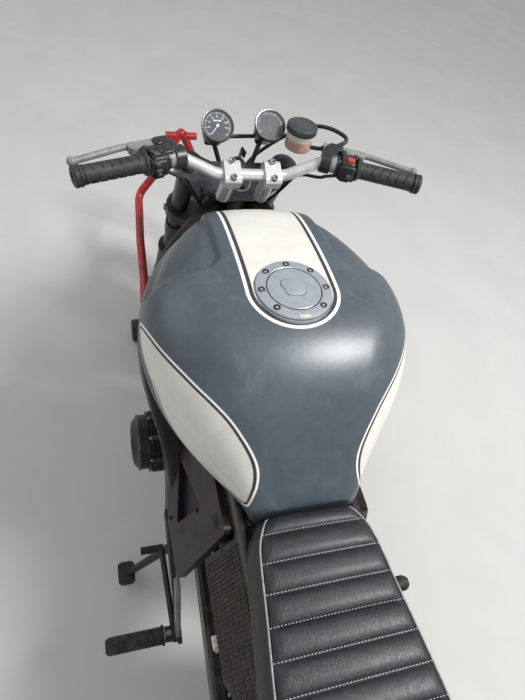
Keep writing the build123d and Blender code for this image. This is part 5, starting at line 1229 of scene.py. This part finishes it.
# headlamp glass and rim
lampPlace = facing(onFork(0, 0.084, 0.430), (0, 1, 0), (1, 0, 0))
rim, lens = bmesh.new(), bmesh.new()
lathe(rim, [(0.0560, 0.034), (0.0585, 0.036), (0.0630, 0.034), (0.0650, 0.029), (0.0650, 0.018), (0.0632, 0.016),
            (0.0600, 0.016), (0.0560, 0.034)], lampPlace, 96)
lathe(lens, [(0, 0.0492), (0.012, 0.0488), (0.024, 0.0476), (0.036, 0.0452), (0.046, 0.0416), (0.054, 0.0372),
             (0.0575, 0.0330)], lampPlace, 96)
asPiece("lampRim", rim, finishes["rimChrome"], "steering")
lensLook, lensTree, lensShader = blankFinish("lampLens")
flutes = put(lensTree, "ShaderNodeTexWave", {"Vector": objectPlace(lensTree), "Scale": 95.0, "Distortion": 0.0},
             bands_direction="X").outputs[1]
tone = cloudyOf(lensTree, tint(206, 212, 216), tint(178, 186, 192), 40.0)[0]
lensColor = blendOf(lensTree, product(lensTree, flutes, 0.4), tone, tint(132, 140, 148))
setShader(lensTree, lensShader, {"Base Color": lensColor, "Roughness": 0.08, "Metallic": 0.35, "Coat Weight": 1.0})
setBump(lensTree, lensShader, flutes, 0.6, 0.0012)
asPiece("lampLens", lens, lensLook, "steering", angle=60)
print("headlamp done")

# chain: two-pitch links round both sprockets
chain = {"x": -0.095, "front": (-0.10916, 0.386, 0.0419), "rear": (-0.755, 0.312, 0.0999), "pitch": 0.015875,
         "teeth": 15}


def chainPath():
    (fy, fz, fr), (ry, rz, rr) = chain["front"], chain["rear"]
    span = math.hypot(fy - ry, fz - rz)
    tilt = math.atan2(fz - rz, fy - ry)
    lean = math.acos((rr - fr) / span)
    points = []
    for step in range(41):
        turn = tilt + lean + (2 * math.pi - 2 * lean) * step / 40
        points.append((chain["x"], ry + rr * math.cos(turn), rz + rr * math.sin(turn)))
    for step in range(41):
        turn = tilt - lean + 2 * lean * step / 40
        points.append((chain["x"], fy + fr * math.cos(turn), fz + fr * math.sin(turn)))
    return points


def linkPlate(mesh, across, reach, height, thick, shift):
    outline = []
    for end in (-1, 1):
        for step in range(7):
            turn = math.pi * step / 6 - math.pi / 2
            along = end * (reach / 2 + height / 2 * math.cos(turn))
            outline.append((end * height / 2 * math.sin(turn), shift + along))
    prism(mesh, *[[mesh.verts.new((x, y, z)) for y, z in outline] for x in (across - thick / 2, across + thick / 2)])


def linkUnit(pitch):
    mesh = bmesh.new()
    for side in (-1, 1):
        linkPlate(mesh, side * 0.0062, pitch, 0.0130, 0.0014, 0.0)
        linkPlate(mesh, side * 0.0046, pitch, 0.0124, 0.0014, pitch)
    for z in (-pitch / 2, pitch / 2):
        lathe(mesh, [(0, -0.0072), (0.0022, -0.0072), (0.0022, -0.0040), (0.0046, -0.0040), (0.0046, 0.0040),
                     (0.0022, 0.0040), (0.0022, 0.0072), (0, 0.0072)],
              Matrix.Translation((0, 0, z)) @ Matrix.Rotation(math.pi / 2, 4, "Y"), 10)
    return unitObject("chainLink", mesh)


path = chainPath()
chainLength = sum((Vector(a) - Vector(b)).length for a, b in zip(path, path[1:] + path[:1]))
linkCount = round(chainLength / chain["pitch"] / 2)
linkSpacing = chainLength / linkCount
addFinish("chainSteel", color=(112, 104, 92), second=(70, 62, 54), rough=0.4, metal=0.9, patch=120.0, grain=900.0,
          dust=0.15)
links = alongPath("chainLinks", path, linkUnit(linkSpacing / 2), linkSpacing, finishes["chainSteel"], closed=True)
sprocket = bmesh.new()
sprocketPlace = facing((chain["x"], *chain["front"][:2]), (1, 0, 0), (0, 1, 0))
lathe(sprocket, [(0.008, -0.004), (0.0325, -0.004), (0.0342, -0.0022), (0.0342, 0.0022), (0.0325, 0.004),
                 (0.008, 0.004), (0.008, -0.004)], sprocketPlace, chain["teeth"] * 8,
      lambda angle, height, count: 0.0042 * math.cos(angle * chain["teeth"]) if 1 < count < 4 else 0.0)
lathe(sprocket, [(0, -0.010), (0.013, -0.010), (0.014, -0.009), (0.014, 0.014), (0, 0.014)], sprocketPlace, 32)
asPiece("gearboxSprocket", sprocket, finishes["sprocketSteel"], "frame")
showPiece("chainLinks", links, None, "frame", ["drive_chain"])
print("chain links", linkCount, len(links.polygons))

# side panels: a lattice of short bars on a plain plate
panel = {"mid": (0.130, -0.4763, 0.6834), "lean": (0.922, 0.0, 0.388), "thick": 0.004, "barPitch": 0.0069,
         "rowPitch": 0.0150, "bar": (0.0136, 0.0040, 0.0024), "barReach": (0.122, 0.048), "barClear": 0.008,
         "outline": [(-0.129, 0.010), (-0.129, 0.052), (0.129, 0.052), (0.129, -0.052), (-0.059, -0.052)]}


def panelPlace(side, across=0.0, up=0.0, out=0.0):
    # x along the bike, y up the slope, z outwards
    normal = Vector((panel["lean"][0] * side, 0, panel["lean"][2]))
    middle = Vector((panel["mid"][0] * side, panel["mid"][1], panel["mid"][2]))
    turned = facing(middle, normal, (0, 1, 0))
    return turned @ Matrix.Translation((across, up * side, out))


def onPanel(across, up):
    # clear of the plate's edges, the sloped front corner too
    (frontX, frontUp), (lowX, lowUp) = panel["outline"][0], panel["outline"][-1]
    slope = frontUp - (across - frontX) * (frontUp - lowUp) / (lowX - frontX)
    reach, rise = panel["barReach"]
    return abs(across) < reach and abs(up) < rise and up > slope + panel["barClear"]


plates, barMeshes = bmesh.new(), []
for side in (-1, 1):
    low, high = [[plates.verts.new(panelPlace(side, across, up, out) @ Vector()) for across, up in panel["outline"]]
                 for out in (0.0, panel["thick"])]
    plates.faces.new(low)
    plates.faces.new(high[::-1])
    walls(plates, low, high)
    unit = bmesh.new()
    block(unit, panelPlace(side).to_3x3().to_4x4(), (panel["bar"][1], panel["bar"][0], panel["bar"][2]), 0.0008, 1)
    spots = []
    for column in range(-18, 19):
        for row in range(-3, 4):
            across, up = column * panel["barPitch"], row * panel["rowPitch"]
            if onPanel(across, up):
                spots.append((panelPlace(side, across, up, panel["thick"] + 0.0006) @ Vector(), (0, 0, 1), 1.0))
    barMeshes.append(atPoints("panelBars", spots, unitObject("panelBar", unit), finishes["panelBrown"]))
bmesh.ops.bevel(plates, geom=list(plates.edges), offset=0.0012, segments=2, profile=0.5, affect="EDGES")
for side in (-1, 1):
    lathe(plates, [(0, -0.030), (0.006, -0.030), (0.006, 0.001), (0, 0.001)], panelPlace(side), 20)
asPiece("sidePanels", plates, finishes["airboxBlack"], "frame", ["side_panels"])
panelBars = bmesh.new()
for data in barMeshes:
    panelBars.from_mesh(data)
asPiece("panelBars", panelBars, finishes["panelBrown"], "frame")
print("side panels done")

# engine covers: bolted lugs, rims, raised rings
covers = {
    "left": dict(centre=(0.0208, 0.386), side=-1, radius=0.066, base=0.160, shoulder=0.234, face=0.246, flat=0.050,
                 lugs=8, lugTo=0.205, fins=6),
    "right": dict(centre=(-0.0332, 0.386), side=1, radius=0.092, base=0.160, shoulder=0.206, face=0.218, flat=0.076,
                  lugs=11, lugTo=0.200, fins=0),
}
coverParts, coverRims, coverBolts = bmesh.new(), bmesh.new(), []
for look in covers.values():
    side, (middleY, middleZ) = look["side"], look["centre"]
    place = facing((0, middleY, middleZ), (side, 0, 0), (0, 1, 0))
    r, flat, shoulder, face = look["radius"], look["flat"], look["shoulder"], look["face"]
    low, high = look["base"], look["base"] + 0.010
    lathe(coverParts, [(r - 0.004, low), (r + 0.006, low), (r + 0.006, low + 0.008), (r + 0.004, high),
                       (r - 0.004, high), (r - 0.004, low)], place, 96)
    lathe(coverRims, [(r - 0.003, shoulder - 0.004), (r + 0.0012, shoulder - 0.004), (r + 0.0014, shoulder),
                      (r - 0.0015, shoulder + 0.0022), (r - 0.004, shoulder + 0.0016), (r - 0.003, shoulder - 0.004)],
          place, 96)
    lathe(coverParts, [(flat * 0.66, face - 0.001), (flat * 0.70, face + 0.0020), (flat * 0.80, face + 0.0020),
                       (flat * 0.84, face - 0.001), (flat * 0.66, face - 0.001)], place, 96)
    lathe(coverParts, [(0, face + 0.0034), (0.011, face + 0.0034), (0.0125, face + 0.002), (0.0125, face - 0.001),
                       (0, face - 0.001)], place, 48)
    for step in range(look["fins"]):
        out = look["base"] + 0.013 + 0.0072 * step
        lathe(coverParts, [(r - 0.002, out), (r + 0.008, out + 0.0006), (r + 0.008, out + 0.0024),
                           (r - 0.002, out + 0.0034), (r - 0.002, out)], place, 96)
    for step in range(6):
        # spokes pressed into the outer face
        turn = math.radians(30 + 60 * step)
        way = Matrix.Rotation(turn, 4, "Z") @ Matrix.Translation((flat * 0.47, 0, face + 0.0002))
        block(coverParts, place @ way, (flat * 0.36, 0.004, 0.0024), 0.0010, 2)
    for step in range(look["lugs"]):
        turn = 2 * math.pi * (step + 0.5) / look["lugs"]
        spot = place @ Vector(((r + 0.002) * math.cos(turn), (r + 0.002) * math.sin(turn), 0))
        lathe(coverParts, [(0, look["base"]), (0.0074, look["base"]), (0.0068, look["lugTo"] - 0.001),
                           (0.0060, look["lugTo"]), (0, look["lugTo"])], facing(spot, (side, 0, 0), (0, 1, 0)), 18)
        coverBolts.append((spot + Vector((side * look["lugTo"], 0, 0)), (side, 0, 0), 0.95))
for y, z in ((-0.078, 0.450), (-0.078, 0.322), (-0.140, 0.450), (-0.140, 0.322)):
    coverBolts.append((Vector((-0.113, y, z)), (-1, 0, 0), 1.0))
for z in (0.356, 0.386, 0.416):
    block(coverParts, facing((-0.1128, -0.108, z), (-1, 0, 0), (0, 1, 0)), (0.060, 0.006, 0.004), 0.0016, 2)
asPiece("coverParts", coverParts, finishes["coverDark"], "frame")
addFinish("rimBrown", color=(104, 96, 84), second=(76, 70, 62), rough=0.4, metal=0.7, patch=50.0, grain=1200.0,
          dust=0.15)
asPiece("coverRims", coverRims, finishes["rimBrown"], "frame")
boltPiece("coverBolts", coverBolts, "socket", "boltSteel", "frame")
print("engine covers done")

# footpegs: ribbed oval rubbers, washers, clevises and heel plates
peg = {"y": -0.4092, "z": 0.380, "inner": 0.217, "outer": 0.3315, "radius": 0.0126, "oval": 1.28, "ribs": 20}
pegRubbers, pegForks, pegBright = bmesh.new(), bmesh.new(), bmesh.new()
for side in (-1, 1):
    place = facing((0, peg["y"], peg["z"]), (side, 0, 0), (0, 1, 0))
    r, start, end = peg["radius"], peg["inner"] + 0.003, peg["outer"]
    profile = [(0, start), (r + 0.0022, start), (r + 0.0026, start + 0.001), (r + 0.0026, start + 0.004),
               (r, start + 0.005)]
    pitch = (end - 0.014 - start) / peg["ribs"]
    for step in range(peg["ribs"]):
        rib = start + 0.007 + pitch * step
        profile += [(r, rib), (r + 0.0006, rib + pitch * 0.2), (r + 0.0006, rib + pitch * 0.6),
                    (r, rib + pitch * 0.75)]
    profile += [(r, end - 0.006), (r - 0.002, end - 0.0015), (r - 0.005, end), (0, end)]
    lathe(pegRubbers, profile, place @ Matrix.Diagonal((peg["oval"], 1, 1, 1)), 48)
    washer = [peg["inner"], peg["inner"] + 0.003]
    lathe(pegBright, [(0, washer[0]), (0.0155, washer[0]), (0.0155, washer[1]), (0, washer[1])], place, 40)
    for shift in (-0.0105, 0.0105):
        block(pegForks, place @ Matrix.Translation((0, shift, 0.2065)), (0.026, 0.006, 0.024), 0.0018)
    block(pegForks, place @ Matrix.Translation((0, 0, 0.1975)), (0.026, 0.026, 0.008), 0.0018)
    lathe(pegBright, [(0, -0.0155), (0.0052, -0.0155), (0.0052, -0.0135), (0.0038, -0.0135), (0.0038, 0.0135),
                      (0.0052, 0.0135), (0.0052, 0.0155), (0, 0.0155)],
          facing((side * 0.2105, peg["y"], peg["z"]), (0, 0, 1)), 20)
    foot, top = Vector((side * 0.193, -0.416, 0.374)), Vector((side * 0.193, -0.348, 0.518))
    block(pegBright, facing((foot + top) / 2, top - foot, (1, 0, 0)), (0.010, 0.026, (top - foot).length), 0.0022)
asPiece("pegRubbers", pegRubbers, finishes["pegBlack"], "frame", angle=30)
asPiece("pegClevises", pegForks, finishes["boltBlack"], "frame")
asPiece("pegBrackets", pegBright, finishes["bracketGrey"], "frame")
print("footpegs done")

# frame plates: rubber plugs, bolts, and dark blue sheets behind their windows, painted shade that darkens the window
# holes
plate = {"lean": 0.30, "x": 0.190, "z": 0.500, "half": 0.0066, "plug": (0.130, -0.306, 0.700), "shadeSheetThick": 0.003,
         "bolts": [(-0.160, 0.570), (-0.262, 0.640), (-0.225, 0.520)],
         "window": [(-0.127, 0.602), (-0.269, 0.669), (-0.252, 0.537)],
         "gusset": (0.113, -0.341, 0.693), "gussetSize": (0.040, 0.038, 0.012)}
battery = {"middle": (0, -0.402, 0.676), "size": (0.200, 0.150, 0.088), "ribs": 5, "ribPitch": 0.030}


def onPlate(side, y, z):
    return Vector((side * (plate["x"] - plate["lean"] * (z - plate["z"])), y, z))


frameBits, frameBolts, shadeSheets, gussets, box = bmesh.new(), [], bmesh.new(), bmesh.new(), bmesh.new()
for side in (-1, 1):
    normal = Vector((side, 0, plate["lean"])).normalized()
    x, y, z = plate["plug"]
    lathe(frameBits, [(0, -0.004), (0.0085, -0.004), (0.0085, 0.0), (0.0115, 0.0), (0.0118, 0.0010), (0.0100, 0.0026),
                      (0.0050, 0.0034), (0, 0.0036)],
          facing(Vector((side * x, y, z)) + normal * 0.0068, normal, (0, 1, 0)), 32)
    frameBolts += [(onPlate(side, y, z) + normal * plate["half"], normal, 0.8) for y, z in plate["bolts"]]
    # a dark sheet behind each window: painted shade in the window hole
    low = [onPlate(side, y, z) - normal * plate["half"] for y, z in plate["window"]]
    prism(shadeSheets, *[[shadeSheets.verts.new(point - normal * depth) for point in low] for depth in (0.0, plate["shadeSheetThick"])])
    x, y, z = plate["gusset"]
    block(gussets, facing((side * x, y, z), (side * 0.3, 0, 1)), plate["gussetSize"], 0.003)
block(box, Matrix.Translation(battery["middle"]), battery["size"], 0.008)
for step in range(battery["ribs"]):
    for x in (-0.1005, 0.1005):
        rib = Matrix.Translation((x, -0.342 - battery["ribPitch"] * step, battery["middle"][2]))
        block(box, rib, (0.004, 0.010, 0.066), 0.0015, 2)
# the window sheets' dark blue is painted shade, not the colour of a real part
addFinish("paintedShadeBlue", color=(20, 23, 32), second=(28, 31, 41), rough=0.5, patch=30.0, spec=0.3, dust=0.06)
asPiece("batteryBox", box, finishes["airboxBlack"], "frame")
asPiece("seatGussets", gussets, finishes["frameBrown"], "frame")
# the window sheets: painted shade
asPiece("windowLiners", shadeSheets, finishes["paintedShadeBlue"], "frame")
asPiece("framePlugs", frameBits, finishes["pegBlack"], "frame")
boltPiece("frameBolts", frameBolts, "socket", "boltBlack", "frame")

# the wiring plug behind the left plate
wiring, wires = bmesh.new(), bmesh.new()
plugAt = Vector((-0.150, -0.4740, 0.604))
block(wiring, facing(plugAt, (-0.3, 0.1, 1)), (0.013, 0.022, 0.026), 0.0022)
block(wiring, facing(plugAt + Vector((-0.004, 0.001, 0.016)), (-0.3, 0.1, 1)), (0.011, 0.018, 0.008), 0.0016)
for step in range(4):
    start = plugAt + Vector((-0.002, -0.006 + 0.004 * step, 0.016))
    steps = [(0, 0, 0), (0.004, 0.001, 0.016), (0.010, 0.002, 0.034), (0.022, 0.006, 0.048)]
    wires.from_mesh(tubeMesh("wire", [start + Vector(away) for away in steps], 0.0014, sides=2, resolution=6))
addFinish("wireOrange", color=(186, 122, 40), second=(150, 92, 30), rough=0.45, patch=120.0, grain=1800.0, dust=0.1)
asPiece("wiringPlug", wiring, finishes["plugWhite"], "frame")
asPiece("plugWires", wires, finishes["wireOrange"], "frame")
print("frame details done")

# stage
paleFloor, floorTree, floorShader = blankFinish("paleFloor")
patches = cloudyOf(floorTree, tint(206, 204, 200), tint(198, 196, 192), 3.0, 0.5, 0.3)[0]
setShader(floorTree, floorShader, {"Base Color": patches, "Roughness": 0.9})
floorMesh = bpy.data.meshes.new("floor")
reach = 90
floorMesh.from_pydata([(-reach, -reach, 0), (reach, -reach, 0), (reach, reach, 0), (-reach, reach, 0)], [],
                      [(0, 1, 2, 3)])
floorMesh.materials.append(paleFloor)
floor = bpy.data.objects.new("floor", floorMesh)
bpy.context.scene.collection.objects.link(floor)
lights = {"key": dict(place=(1.6, -0.9, 3.4), power=120, size=0.9),
          "fill": dict(place=(-3.0, 1.5, 3.0), power=26, size=3.0)}
for name, look in lights.items():
    light = bpy.data.objects.new(name, bpy.data.lights.new(name, "AREA"))
    light.data.energy, light.data.size = look["power"], look["size"]
    light.location = look["place"]
    light.rotation_euler = (Vector((0, 0, 0.5)) - Vector(look["place"])).to_track_quat("-Z", "Y").to_euler()
    bpy.context.scene.collection.objects.link(light)
world = bpy.data.worlds.new("studio")
world.use_nodes = True
sky = world.node_tree.nodes["Background"].inputs
sky["Color"].default_value = (0.9, 0.93, 0.97, 1)
sky["Strength"].default_value = 0.6
bpy.context.scene.world = world
bpy.context.scene.view_settings.view_transform = "Standard"
